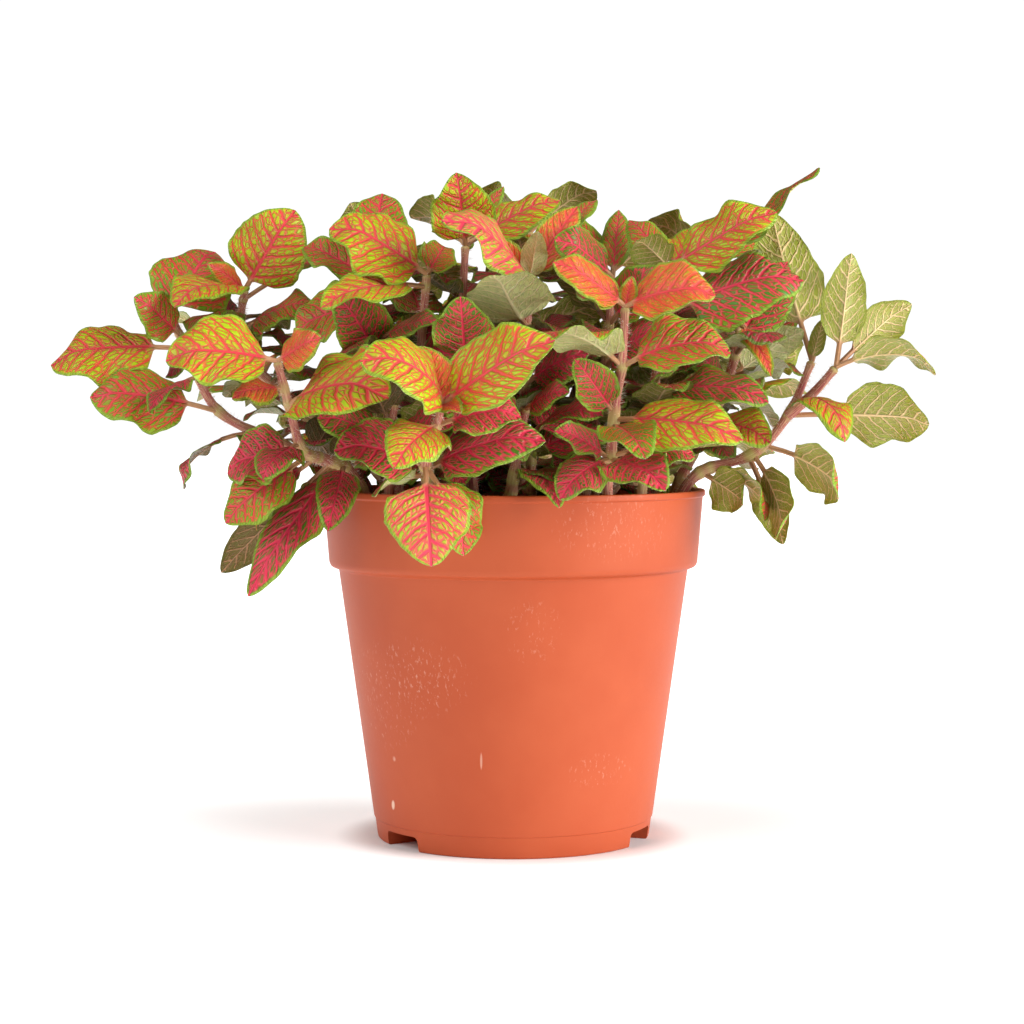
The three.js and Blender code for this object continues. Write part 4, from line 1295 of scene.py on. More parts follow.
class Finish:
    """A material that is being put together: its tree, its shader and the patterns that feed it."""

    def __init__(self, name: str, roughness: float, gloss: float) -> None:
        """Starts a material with one shader.

        Args:
            name: the material's name.
            roughness: the shader's roughness all over.
            gloss: its specular level all over.
        """
        self.material = bpy.data.materials.new(name)
        self.material.use_nodes = True
        self.tree = self.material.node_tree
        self.shader = self.tree.nodes["Principled BSDF"]
        self.set("Roughness", roughness)
        self.set("Specular IOR Level", gloss)

    def attribute(self, name: str, outlet: str = "Vector") -> Wire:
        """A value that the mesh keeps under this name, as a Vector or a Color."""
        return wired(self.tree, "ShaderNodeAttribute", {}, outlet, attribute_name=name)

    def place(self) -> Wire:
        """Where a point lies on the object, in metres."""
        return wired(self.tree, "ShaderNodeTexCoord", {}, "Object")

    def vector(self, x: Wire | float, y: Wire | float, z: Wire | float = 0.0) -> Wire:
        """A vector put together from three values."""
        return wired(self.tree, "ShaderNodeCombineXYZ", {0: x, 1: y, 2: z})

    def noise(self, where: Wire, scale: float, detail: float, rough: float = 0.5) -> Wire:
        """Soft noise from 0 to 1, with scale lumps to a unit and detail finer layers."""
        values = {"Vector": where, "Scale": scale, "Detail": detail, "Roughness": rough}
        return wired(self.tree, "ShaderNodeTexNoise", values)

    def cells(self, where: Wire, scale: float, feature: str = "F1", flat: bool = False) -> Wire:
        """How far a point is from the middle, or from the edge, of the cell that it lies in.

        Args:
            where: the place that it's read at.
            scale: how many cells there are to a unit.
            feature: Blender's name for what is measured.
            flat: leaves z out.

        Returns:
            The distance asked for.
        """
        values = {"Vector": where, "Scale": scale}
        choices = {"feature": feature, "voronoi_dimensions": "2D" if flat else "3D"}
        return wired(self.tree, "ShaderNodeTexVoronoi", values, "Distance", **choices)

    def bump(self, height: Wire, depth: float, strength: float) -> None:
        """Raises the surface by a height from 0 to 1 of a depth in metres, at so much of the full effect."""
        values = {"Strength": strength, "Distance": depth, "Height": height}
        self.set("Normal", wired(self.tree, "ShaderNodeBump", values))

    def set(self, name: str, value: Wire | float | Sequence[float]) -> None:
        """Feeds or sets one of the shader's own sockets."""
        feed(self.shader.inputs[name], value)


@dataclass(frozen=True)
class VeinedLeaf:
    """A leaf's finish: green cells in a coral net, with a plain margin, and paler ribs underneath.

    The width of a rib or a side vein is a start, what it loses on the way to the tip or the margin, and what
    it gains with the spread of the leaf's net. The net's width and the flush lose nothing. margin_width says
    how far from the edge, in millimetres, the net starts and is full.
    """

    roughness: float = 0.4
    gloss: float = 0.3
    veins: float = 7.0
    margin: Color = rgb(146, 178, 58)
    deep: Color = rgb(90, 128, 28)
    sunny: Color = rgb(176, 196, 44)
    heart: Color = rgb(226, 62, 90)
    stalk_color: Color = rgb(208, 158, 116)
    # Hidden leaves are mixed towards this dark colour: painted shade inside the plant, along with the darker
    # colour of older leaves
    dusk: Color = rgb(44, 34, 16)
    patch_scale: Pair = (3.0, 2.0)
    patch_apart: Triple = (37.0, 91.0, 131.0)
    wander: Pair = (2.2, 0.06)
    sweep: Pair = (0.24, 0.13)
    alternate: float = 0.35
    rib_width: Triple = (0.05, 0.03, 0.03)
    side_width: Triple = (0.1, 0.05, 0.08)
    net_scale: Pair = (2.1, 7.0)
    net_width: Pair = (0.085, 0.17)
    flush: Pair = (0.1, 0.62)
    margin_width: Pair = (0.5, 1.3)
    rib_depth: float = 0.0009
    rib_heights: Pair = (0.85, 0.45)
    relief: float = 0.85
    glow: Pair = (0.12, 0.0012)
    glow_reach: Triple = (1.0, 0.7, 0.25)

    def build(self) -> bpy.types.Material:
        """The finished material.

        Returns:
            The material.
        """
        finish = Finish("veined_leaf", self.roughness, self.gloss)
        along, across, edge = finish.attribute("blade").split()
        stalk, under, spread = finish.attribute("marks").split()
        luck, shaded, _ = finish.attribute("luck").split()
        out = across.sum("ABSOLUTE")
        side = across.sum("GREATER_THAN", 0.0)
        long, wide = self.patch_scale
        first, second, third = self.patch_apart
        patch = finish.vector(along * long + luck * first, across * wide + luck * second)
        stray = finish.noise(patch, self.wander[0], 2.0) - 0.5
        reach = out * self.sweep[0] + out * out * self.sweep[1]
        phase = (along - reach + stray * self.wander[1]) * self.veins + side * self.alternate + luck
        away = phase.sum("PINGPONG", 0.5)
        start, outwards, spreading = self.side_width
        wide = (start - out * outwards + spread * spreading) * (1.0 - under * 0.25)
        sides = away.fall(wide * 0.4, wide * 2.0)
        start, onwards, spreading = self.rib_width
        wide = start - along * onwards + spread * spreading
        rib = out.fall(wide * 0.5, wide * 1.6)
        long, wide = self.net_scale
        net_place = finish.vector(phase * long + luck * third, out * wide + side * first + stray * 0.9)
        wide = self.net_width[0] + spread * self.net_width[1]
        net = finish.cells(net_place, 1.0, "DISTANCE_TO_EDGE", True).fall(wide * 0.3, wide * 1.7)
        flush = (out + stray * 0.25).fall(0.0, 0.5) * (self.flush[0] + spread * self.flush[1])
        veins = sides.larger(net * (0.8 - under * 0.4))
        veins = (veins + flush - veins * flush) * edge.rise(*self.margin_width)
        veins = veins.larger(rib)
        shade = finish.noise(patch, 4.0, 3.0)
        ground = (shade.rise(0.35, 0.8) * 0.35).mix(finish.attribute("ground", "Color"), self.deep)
        ground = (out.rise(0.45, 1.0) * (1.0 - under) * 0.4).mix(ground, self.sunny)
        ground = (edge.fall(0.4, 1.0) * (1.0 - under) * 0.85).mix(ground, self.margin)
        tint = (out.fall(0.0, 0.45, 0.55) * (1.0 - under)).mix(finish.attribute("vein", "Color"), self.heart)
        colour = stalk.mix(veins.mix(ground, tint), self.stalk_color)
        # Hidden leaves are darkened by their shaded share: painted shade inside the plant, along with the
        # darker colour of older leaves
        finish.set("Base Color", shaded.mix(colour, self.dusk))
        ribs = rib.larger(sides * self.rib_heights[0]).larger(net * self.rib_heights[1])
        finish.bump(ribs * (under * 2.0 - 1.0) + shade * 0.15, self.rib_depth, self.relief)
        finish.set("Roughness", shade * 0.14 + (self.roughness - 0.07))
        finish.set("Subsurface Weight", self.glow[0])
        finish.set("Subsurface Radius", self.glow_reach)
        finish.set("Subsurface Scale", self.glow[1])
        return finish.material


@dataclass(frozen=True)
class DownyStem:
    """A stem's finish: streaked red-brown, with pale green at the joints."""

    bark: Color = rgb(178, 82, 88)
    streak: Color = rgb(222, 176, 140)
    joint: Color = rgb(200, 200, 116)
    roughness: float = 0.6
    gloss: float = 0.3
    streak_scale: Pair = (6.0, 0.06)
    relief: Pair = (0.0003, 0.5)
    glow: Pair = (0.1, 0.001)

    def build(self) -> bpy.types.Material:
        """The finished material.

        Returns:
            The material.
        """
        finish = Finish("downy_stem", self.roughness, self.gloss)
        joint, around, along = finish.attribute("marks").split()
        place = finish.vector(around * self.streak_scale[0], along * self.streak_scale[1])
        streaks = finish.noise(place, 3.0, 3.0)
        colour = streaks.rise(0.35, 0.7).mix(self.bark, self.streak)
        finish.set("Base Color", joint.mix(colour, self.joint))
        finish.bump(streaks, *self.relief)
        finish.set("Subsurface Weight", self.glow[0])
        finish.set("Subsurface Scale", self.glow[1])
        return finish.material


@dataclass(frozen=True)
class PaleDown:
    """The finish of the hairs on the stems."""

    light: Color = rgb(250, 238, 224)
    dark: Color = rgb(236, 214, 190)
    roughness: float = 0.6
    gloss: float = 0.3
    change: float = 900.0

    def build(self) -> bpy.types.Material:
        """The finished material.

        Returns:
            The material.
        """
        finish = Finish("pale_down", self.roughness, self.gloss)
        shade = finish.noise(finish.place(), self.change, 1.0)
        finish.set("Base Color", shade.mix(self.light, self.dark))
        return finish.material


@dataclass(frozen=True)
class MouldedPlastic:
    """The pot's finish: satin terracotta plastic, faintly mottled, scuffed and specked.

    A scuff or a chip is (x, height, half width, half height, strength), in metres, on the pot's front.
    """

    base: Color = rgb(182, 77, 38)
    worn: Color = rgb(190, 86, 47)
    speck: Color = rgb(236, 196, 172)
    roughness: float = 0.5
    gloss: float = 0.33
    clouds: float = 22.0
    specks: Pair = (95.0, 60.0)
    scratches: Pair = (1100.0, 0.45)
    grain: float = 900.0
    waves: float = 60.0
    relief: Pair = (0.00012, 0.5)
    scuffs: tuple[tuple[float, ...], ...] = (
        (-0.031, 0.054, 0.022, 0.014, 0.45),
        (-0.038, 0.045, 0.012, 0.016, 0.35),
        (0.006, 0.069, 0.01, 0.012, 0.25),
        (0.026, 0.026, 0.012, 0.006, 0.35),
        (0.03, 0.1, 0.022, 0.012, 0.25),
    )
    chips: tuple[tuple[float, ...], ...] = (
        (-0.0095, 0.03, 0.0004, 0.003, 0.6),
        (-0.0366, 0.0135, 0.0006, 0.0018, 1.3),
    )

    @staticmethod
    def near(place: Wire, spot: tuple[float, ...]) -> Wire:
        """How strongly a spot on the pot's front marks each place.

        Args:
            place: where on the pot.
            spot: the scuff or the chip.

        Returns:
            Its strength inside the spot, falling to 0 at its rim.
        """
        x, y, z = place.split()
        middle, height, half_width, half_height, strength = spot
        aside = (x - middle) / half_width
        over = (z - height) / half_height
        inside = (aside * aside + over * over).fall(0.2, 1.0)
        return inside * y.sum("LESS_THAN", 0.0) * strength

    def build(self) -> bpy.types.Material:
        """The finished material.

        Returns:
            The material.
        """
        finish = Finish("moulded_plastic", self.roughness, self.gloss)
        place = finish.place()
        clouds = finish.noise(place, self.clouds, 4.0, 0.6)
        colour = clouds.rise(0.3, 0.75).mix(self.base, self.worn)
        dots = finish.cells(place, self.specks[0])
        rare = finish.noise(place, self.specks[1], 1.0).rise(0.62, 0.7)
        specks = dots.fall(0.05, 0.12) * rare
        x, y, z = place.split()
        strokes = finish.vector(x, y, z * self.scratches[1])
        scratches = finish.noise(strokes, self.scratches[0], 3.0, 0.7).rise(0.57, 0.7)
        for spot in self.scuffs:
            specks = specks.larger(self.near(place, spot) * scratches)
        for spot in self.chips:
            specks = specks.larger(self.near(place, spot))
        finish.set("Base Color", (specks * 0.75).mix(colour, self.speck))
        grain = finish.noise(place, self.grain, 3.0, 0.6)
        finish.set("Roughness", clouds * 0.12 + grain * 0.08 + (self.roughness - 0.1))
        finish.bump(grain * 0.35 + finish.noise(place, self.waves, 2.0), *self.relief)
        return finish.material


@dataclass(frozen=True)
class CrumbledCompost:
    """The compost's finish: dark and peaty with paler fibres."""

    dark: Color = rgb(34, 24, 18)
    light: Color = rgb(92, 66, 44)
    roughness: float = 0.95
    gloss: float = 0.2
    grain: float = 420.0
    lumps: float = 380.0
    relief: Pair = (0.0012, 0.8)

    def build(self) -> bpy.types.Material:
        """The finished material.

        Returns:
            The material.
        """
        finish = Finish("crumbled_compost", self.roughness, self.gloss)
        place = finish.place()
        grain = finish.noise(place, self.grain, 5.0, 0.7)
        lumps = finish.cells(place, self.lumps)
        finish.set("Base Color", (grain.rise(0.4, 0.75) * 0.7).mix(self.dark, self.light))
        finish.bump(grain + lumps * 0.6, *self.relief)
        return finish.material


@dataclass
class LeafForm:
    """A leaf's fine form, modelled once and then laid along every leaf's own arc.

    Its margin has scallops and broader lobes, and ruffles up and down. Each is so many waves from the blade's
    foot to its tip, shifted by a share of a wave between the blade's two sides.
    """

    columns: tuple[float, ...] = (-1, -0.82, -0.48, -0.13, 0, 0.13, 0.48, 0.82, 1)
    petiole_rows: int = 3
    blade_rows: int = 32
    even_rows: float = 0.6
    template_wall: float = 0.2
    blade_half: float = 0.2
    edge_half: float = 0.11
    rib_height: float = 0.5
    rib_half: float = 0.55
    rib_fade: float = 0.75
    rib_groove: float = 0.25
    scallops: int = 7
    scallop_depth: float = 0.014
    scallop_shift: float = 0.5
    lobes: float = 2.2
    lobe_depth: float = 0.022
    lobe_shift: float = 0.41
    even_foot: Pair = (0.04, 0.2)
    fullness: float = 0.61
    ruffles: float = 2.6
    ripple: float = 0.11
    ruffle_shift: float = 0.37
    ruffle_power: int = 3
    droop: float = 0.3
    droop_from: float = 0.6
    point_half: float = 0.14
    stalk_half: float = PETIOLE_HALF * 0.95
    stalk_flat: float = 0.8
    stalk_wall: float = 0.06
    stalk_inset: float = 2.0
    neck: float = 0.07
    # How far the leaves are darkened: painted shade inside the plant, along with the darker colour of older
    # leaves
    shaded: float = 0.0

    def template(self) -> Piece:
        """A flat grid with a wall to it, whose rows and columns are found again by their place.

        Returns:
            The template.
        """
        across = len(self.columns) - 1
        rows = self.petiole_rows + self.blade_rows
        piece = fresh(bpy.ops.mesh.primitive_grid_add, x_subdivisions=across, y_subdivisions=rows, size=2)
        solid = piece.modifiers.new("wall", "SOLIDIFY")
        solid.thickness = self.template_wall
        solid.offset = 0
        apply_modifiers(piece)
        x, y, z = points_of(piece).T
        self.column = np.rint((x + 1) / 2 * across).astype(int)
        self.row = np.rint((y + 1) / 2 * rows).astype(int)
        self.over = z > 0
        return piece

    def half_width(self, leaves: Foliage, i: Array, u: Array, v: Array) -> Array:
        """Half the blade's width, with its scallops and lobes.

        Args:
            leaves: all the leaves.
            i: the leaves' numbers.
            u: the shares along their blades.
            v: from -1 at the left edge to 1 at the right.

        Returns:
            In millimetres.
        """
        inside = np.clip(u, TINY, 1 - TINY)
        half = leaves.half[i] * np.maximum(np.sin(math.pi * inside ** leaves.taper[i]), 0) ** self.fullness
        scallop = 2 * math.pi * (self.scallops * u + leaves.phases[i, 0] + self.scallop_shift * (v < 0))
        lobe = 2 * math.pi * (self.lobes * u + leaves.phases[i, 1] + self.lobe_shift * (v > 0))
        uneven = self.scallop_depth * np.sin(scallop) + self.lobe_depth * np.sin(lobe)
        half = half * (1 + uneven * smooth(*self.even_foot, u))
        return np.maximum(half, np.where(u < 0.5, self.stalk_half, self.point_half))

    def lay(self, leaves: Foliage, numbers: Array, name: str, piece: Piece) -> None:
        """Lays copies of the template along leaves and keeps what their material reads.

        Args:
            leaves: all the leaves.
            numbers: the leaves' numbers, one for each copy.
            name: the plant's name.
            piece: the object that holds the copies.
        """
        shape = (len(numbers), len(self.row))
        i = np.repeat(numbers, len(self.row)).reshape(shape)
        v = np.broadcast_to(np.array(self.columns)[self.column], shape)
        row = np.broadcast_to(self.row, shape)
        over = np.broadcast_to(self.over, shape)
        step = np.clip((row - self.petiole_rows) / self.blade_rows, 0, 1)
        u = self.even_rows * step + (1 - self.even_rows) * (1 - np.cos(math.pi * step)) / 2
        petiole = leaves.petiole[i]
        stalk = petiole * np.clip(row / self.petiole_rows, 0, 1)
        w = np.where(step > 0, petiole + (1 - petiole) * u, stalk)
        half = self.half_width(leaves, i, u, v)
        blade = smooth(0, self.neck, u)
        ring = np.sin(math.pi / 2 * v) * self.stalk_half
        across = ring + (v * half - ring) * blade
        flat = self.blade_half + (self.edge_half - self.blade_half) * np.abs(v)
        rib = np.exp(-((across / self.rib_half) ** 2)) * (1 - self.rib_fade * u) * self.rib_height
        flat = np.where(over, flat - self.rib_groove * rib, -flat - rib)
        tube = np.cos(math.pi / 2 * v) * self.stalk_flat * self.stalk_half + self.stalk_wall
        tube = np.where(over, tube, -tube)
        thick = tube + (flat - tube) * blade
        ruffle = 2 * math.pi * (self.ruffles * u + leaves.phases[i, 1] + self.ruffle_shift * (v < 0))
        ruffle = half * self.ripple * np.sin(ruffle) * np.abs(v) ** self.ruffle_power
        droop = -self.droop * leaves.half[i] * smooth(self.droop_from, 1, u) ** 2
        above = thick + (leaves.lift(i, w, v, half) + ruffle) * blade + droop
        set_points(piece, leaves.spot(i, w, across, above).reshape(-1, 3) * MM)
        to_edge = (1 - np.abs(v)) * half + self.stalk_inset * (1 - blade)
        paint(piece, "blade", np.stack([u, across / leaves.half[i], to_edge], axis=2).reshape(-1, 3))
        self.tint(leaves, numbers, name, piece, (1 - blade).reshape(-1))

    def tint(self, leaves: Foliage, numbers: Array, name: str, piece: Piece, stalk: Array) -> None:
        """Paints the looks of the leaves, each face's on its own vertices.

        Args:
            leaves: all the leaves.
            numbers: the leaves' numbers, one for each copy.
            name: the plant's name.
            piece: the object that holds the copies.
            stalk: how much of a stalk each vertex is, from 0 to 1.
        """
        tones = [leaves.plans[k].tone.value for k in numbers]
        under = UNDERSIDES.get(name, Underside.OLIVE).value
        top = np.tile(self.over, len(numbers))

        def both(key: Callable[[Tint], object]) -> Array:
            """What the key takes out of the two faces' tints, one row a vertex."""
            upper = np.array([key(tone) for tone in tones], float).reshape(len(numbers), -1)
            return np.where(top[:, None], np.repeat(upper, len(self.row), 0), key(under))

        paint(piece, "ground", both(lambda tint: tint.ground))
        paint(piece, "vein", both(lambda tint: tint.vein))
        paint(piece, "marks", np.stack([stalk, 1.0 - top, both(lambda tint: tint.spread)[:, 0]], axis=1))
        luck = np.repeat(leaves.seed[numbers], len(self.row))
        # The luck attribute also carries the share of painted shade, as its second part
        paint(piece, "luck", np.stack([luck, np.full_like(luck, self.shaded), np.zeros_like(luck)], axis=1))


@dataclass
class StemForm:
    """A stem's fine form: a tube that swells at its joints and ends in a bud.

    Between joints it is slim times its even radius. No point of a stem is near the share called nowhere.
    """

    sides: int = 10
    rings: int = 46
    root_rings: int = 2
    end_rings: int = 5
    end_length: float = 1.6
    end_gather: float = 1.5
    end_reach: float = 0.9
    end_close: float = 0.97
    slim: float = 0.86
    swell: float = 0.28
    swell_reach: float = 2.0
    tint_reach: float = 1.3
    tint: float = 0.7
    bare: float = 12.0
    nowhere: float = 9.0

    def template(self) -> Piece:
        """A closed tube, extruded ring by ring from a short drum.

        Returns:
            The template.
        """
        drum = bpy.ops.mesh.primitive_cylinder_add
        piece = fresh(drum, vertices=self.sides, radius=1, depth=1, location=(0, 0, 0.5))
        bpy.ops.object.transform_apply(location=True, rotation=False, scale=False)
        for number in range(1, self.rings):
            bpy.ops.object.mode_set(mode="EDIT")
            bpy.ops.mesh.select_mode(type="FACE")
            bpy.ops.mesh.select_all(action="DESELECT")
            bpy.ops.object.mode_set(mode="OBJECT")
            for polygon in piece.data.polygons:
                polygon.select = polygon.center.z > number - 0.1
            bpy.ops.object.mode_set(mode="EDIT")
            bpy.ops.mesh.extrude_region_move(TRANSFORM_OT_translate={"value": (0, 0, 1)})
            bpy.ops.object.mode_set(mode="OBJECT")
        x, y, z = points_of(piece).T
        self.turn = np.arctan2(y, x)
        self.ring = np.rint(z).astype(int)
        return piece

    def lay(self, routes: Sequence[Route], joints: Sequence[list[float]], piece: Piece) -> None:
        """Lays copies of the tube along shoots.

        Args:
            routes: the shoots, one for each copy.
            joints: for each shoot, the shares of its route where leaves grow.
            piece: the object that holds the copies.
        """
        points = []
        marks = []
        for route, nodes in zip(routes, joints):
            length = route.length()
            first = self.root_rings if route.rooted else 0
            whole = self.rings - first - self.end_rings
            past = self.ring - first - whole
            dome = self.end_length / length
            even = (self.ring - first) / whole * (1 - dome)
            last = 1 - dome * (1 - np.clip(past / self.end_rings, 0, 1)) ** self.end_gather
            share = np.clip(np.where(past > 0, last, even), 0, 1)
            centre = route.at(share)
            centre[:, 2] -= np.clip((first - self.ring) / max(first, 1), 0, 1) * ROOTED
            _, across, other = route.axes(share)
            gap = np.abs(share[:, None] - np.array([*nodes, self.nowhere])).min(axis=1) * length
            near = np.exp(-((gap / self.swell_reach) ** 2))
            tinted = np.exp(-((gap / self.tint_reach) ** 2))
            left = (1 - share) * length / (self.end_reach * STEM_TIP_RADIUS)
            radius = Route.radius(share) * (self.slim + self.swell * near)
            radius = radius * np.sqrt(1 - np.maximum(0, 1 - left) ** 2 * self.end_close)
            round_it = np.cos(self.turn)[:, None] * across + np.sin(self.turn)[:, None] * other
            points.append(centre + round_it * radius[:, None])
            shown = tinted * (centre[:, 2] > SOIL_TOP + self.bare)
            around = np.abs(self.turn) / math.pi + route.plant
            marks.append(np.stack([self.tint * shown, around, share * length], axis=1))
        set_points(piece, np.vstack(points) * MM)
        paint(piece, "marks", np.vstack(marks))


@dataclass
class Down:
    """The fine pale hairs that stand out from the stems.

    They start at depth times the stem's radius, and are as much longer as they are buried.
    """

    length: Pair = (0.8, 2.0)
    buried: float = 0.2
    depth: float = 0.8
    radius: float = 0.075
    per_mm: float = 6.0
    start: float = 0.03
    lean: float = 0.25
    seed: int = 911

    def template(self) -> Piece:
        """One hair: a three-sided spike, closed at its foot.

        Returns:
            The template.
        """
        spike = bpy.ops.mesh.primitive_cone_add
        piece = fresh(spike, vertices=3, radius1=1, radius2=0, depth=1, location=(0, 0, 0.5))
        bpy.ops.object.transform_apply(location=True, rotation=False, scale=False)
        self.form = points_of(piece)
        return piece

    def count(self, routes: Sequence[Route]) -> list[int]:
        """How many hairs each shoot bears."""
        return [int(route.length() * self.per_mm) for route in routes]

    def lay(self, routes: Sequence[Route], piece: Piece, number: int) -> None:
        """Stands the hairs on the shoots.

        Args:
            routes: the shoots.
            piece: the object that holds the hairs.
            number: the plant's number, which seeds the draws.
        """
        draw = np.random.default_rng(self.seed + number)
        points = []
        for route, count in zip(routes, self.count(routes)):
            share = draw.uniform(self.start, 1, count)
            ahead, across, other = route.axes(share)
            turn = draw.uniform(0, 2 * math.pi, count)[:, None]
            lean = draw.normal(0, self.lean, (count, 1))
            out = unit(np.cos(turn) * across + np.sin(turn) * other + ahead * lean)
            foot = route.at(share) + out * (Route.radius(share) * self.depth)[:, None]
            length = between(self.length, draw.uniform(0, 1, count)) + self.buried
            first = unit(np.cross(out, ahead))
            second = np.cross(out, first)
            x, y = self.form.T[:2] * self.radius
            z = self.form[:, 2] * length[:, None]
            shape = first[:, None] * x[:, None] + second[:, None] * y[:, None] + out[:, None] * z[..., None]
            points.append((foot[:, None] + shape).reshape(-1, 3))
        set_points(piece, np.vstack(points) * MM)


@dataclass
class Greenery:
    """All the plants, each one piece of leaves, stems and down."""

    leaf: LeafForm = field(default_factory=LeafForm)
    # The hidden leaves are darkened almost halfway: painted shade inside the plant, along with the darker
    # colour of older leaves
    hidden_leaf: LeafForm = field(
        default_factory=lambda: LeafForm((-1, -0.55, 0, 0.55, 1), 2, 13, shaded=0.45)
    )
    stem: StemForm = field(default_factory=StemForm)
    down: Down = field(default_factory=Down)
    sharpest: float = 60

    def build(self) -> list[Piece]:
        """Grows the plants and returns their pieces.

        Returns:
            One piece a plant.
        """
        plants = grow_plants()
        leaves = grow_foliage(plants)
        shapes = self.leaf, self.hidden_leaf, self.stem, self.down
        templates = [shape.template() for shape in shapes]
        finishes = VeinedLeaf().build(), DownyStem().build(), PaleDown().build()
        pieces = []
        for number, plant in enumerate(plants):
            mine = np.flatnonzero(leaves.plant == number)
            parts = []
            for form, template, hidden in zip(shapes[:2], templates[:2], (False, True)):
                numbers = mine[leaves.hidden[mine] == hidden]
                if not len(numbers):
                    continue
                blades = repeated(template, len(numbers), "blades")
                form.lay(leaves, numbers, plant.name, blades)
                finish_mesh(blades, finishes[0], self.sharpest)
                parts.append(blades)
            stems = repeated(templates[2], len(plant.routes), "stems")
            grown = [leaves.plans[k] for k in mine]
            joints = [[plan.share for plan in grown if plan.route is route] for route in plant.routes]
            self.stem.lay(plant.routes, joints, stems)
            finish_mesh(stems, finishes[1], self.sharpest)
            hairs = repeated(templates[3], sum(self.down.count(plant.routes)), "hairs")
            self.down.lay(plant.routes, hairs, number)
            finish_mesh(hairs, finishes[2], self.sharpest)
            piece = join([*parts, stems, hairs], f"plant_{plant.name}")
            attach(piece, BODY)
            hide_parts(f"stem_{plant.name}")
            pieces.append(piece)
        for template in templates:
            bpy.data.objects.remove(template)
        return pieces


def rounded(corners: Sequence[Triple], steps: int = 4) -> list[Pair]:
    """A profile with its corners rounded.

    Args:
        corners: each corner's radius from the axis, its height, and how far it is rounded back.
        steps: how many stretches each rounding has.

    Returns:
        The points of the profile.
    """
    spots = [np.array(corner[:2], float) for corner in corners]
    profile = [tuple(spots[0])]
    for before, here, after, (_, _, back) in zip(spots, spots[1:], spots[2:], corners[1:-1]):
        if back == 0:
            profile.append(tuple(here))
            continue
        start = here + (before - here) * min(MOST_ROUNDED, back / np.linalg.norm(before - here))
        end = here + (after - here) * min(MOST_ROUNDED, back / np.linalg.norm(after - here))
        for step in range(steps + 1):
            t = step / steps
            point = start * (1 - t) ** 2 + here * 2 * t * (1 - t) + end * t * t
            profile.append(tuple(point))
    profile.append(tuple(spots[-1]))
    return profile


def spun(profile: Sequence[Pair], steps: int, name: str) -> Piece:
    """Spins a profile round the upright axis into a closed shell.

    Args:
        profile: radii and heights in millimetres, from the axis and back to it.
        steps: how many stretches go round.
        name: the new object's name.

    Returns:
        The shell.
    """
    piece = fresh(bpy.ops.mesh.primitive_plane_add, size=MM)
    piece.name = name
    bpy.ops.object.mode_set(mode="EDIT")
    bpy.ops.mesh.select_all(action="SELECT")
    bpy.ops.mesh.merge(type="CENTER")
    last = np.array(profile[0]) * MM
    bpy.ops.transform.translate(value=(last[0], 0, last[1]))
    for spot in profile[1:]:
        here = np.array(spot) * MM
        step = here - last
        bpy.ops.mesh.extrude_region_move(TRANSFORM_OT_translate={"value": (step[0], 0, step[1])})
        last = here
    bpy.ops.mesh.select_all(action="SELECT")
    bpy.ops.mesh.spin(steps=steps, angle=2 * math.pi, center=(0, 0, 0), axis=(0, 0, 1))
    bpy.ops.mesh.select_all(action="SELECT")
    bpy.ops.mesh.remove_doubles(threshold=SAME_SPOT)
    bpy.ops.mesh.normals_make_consistent(inside=False)
    bpy.ops.object.mode_set(mode="OBJECT")
    return piece


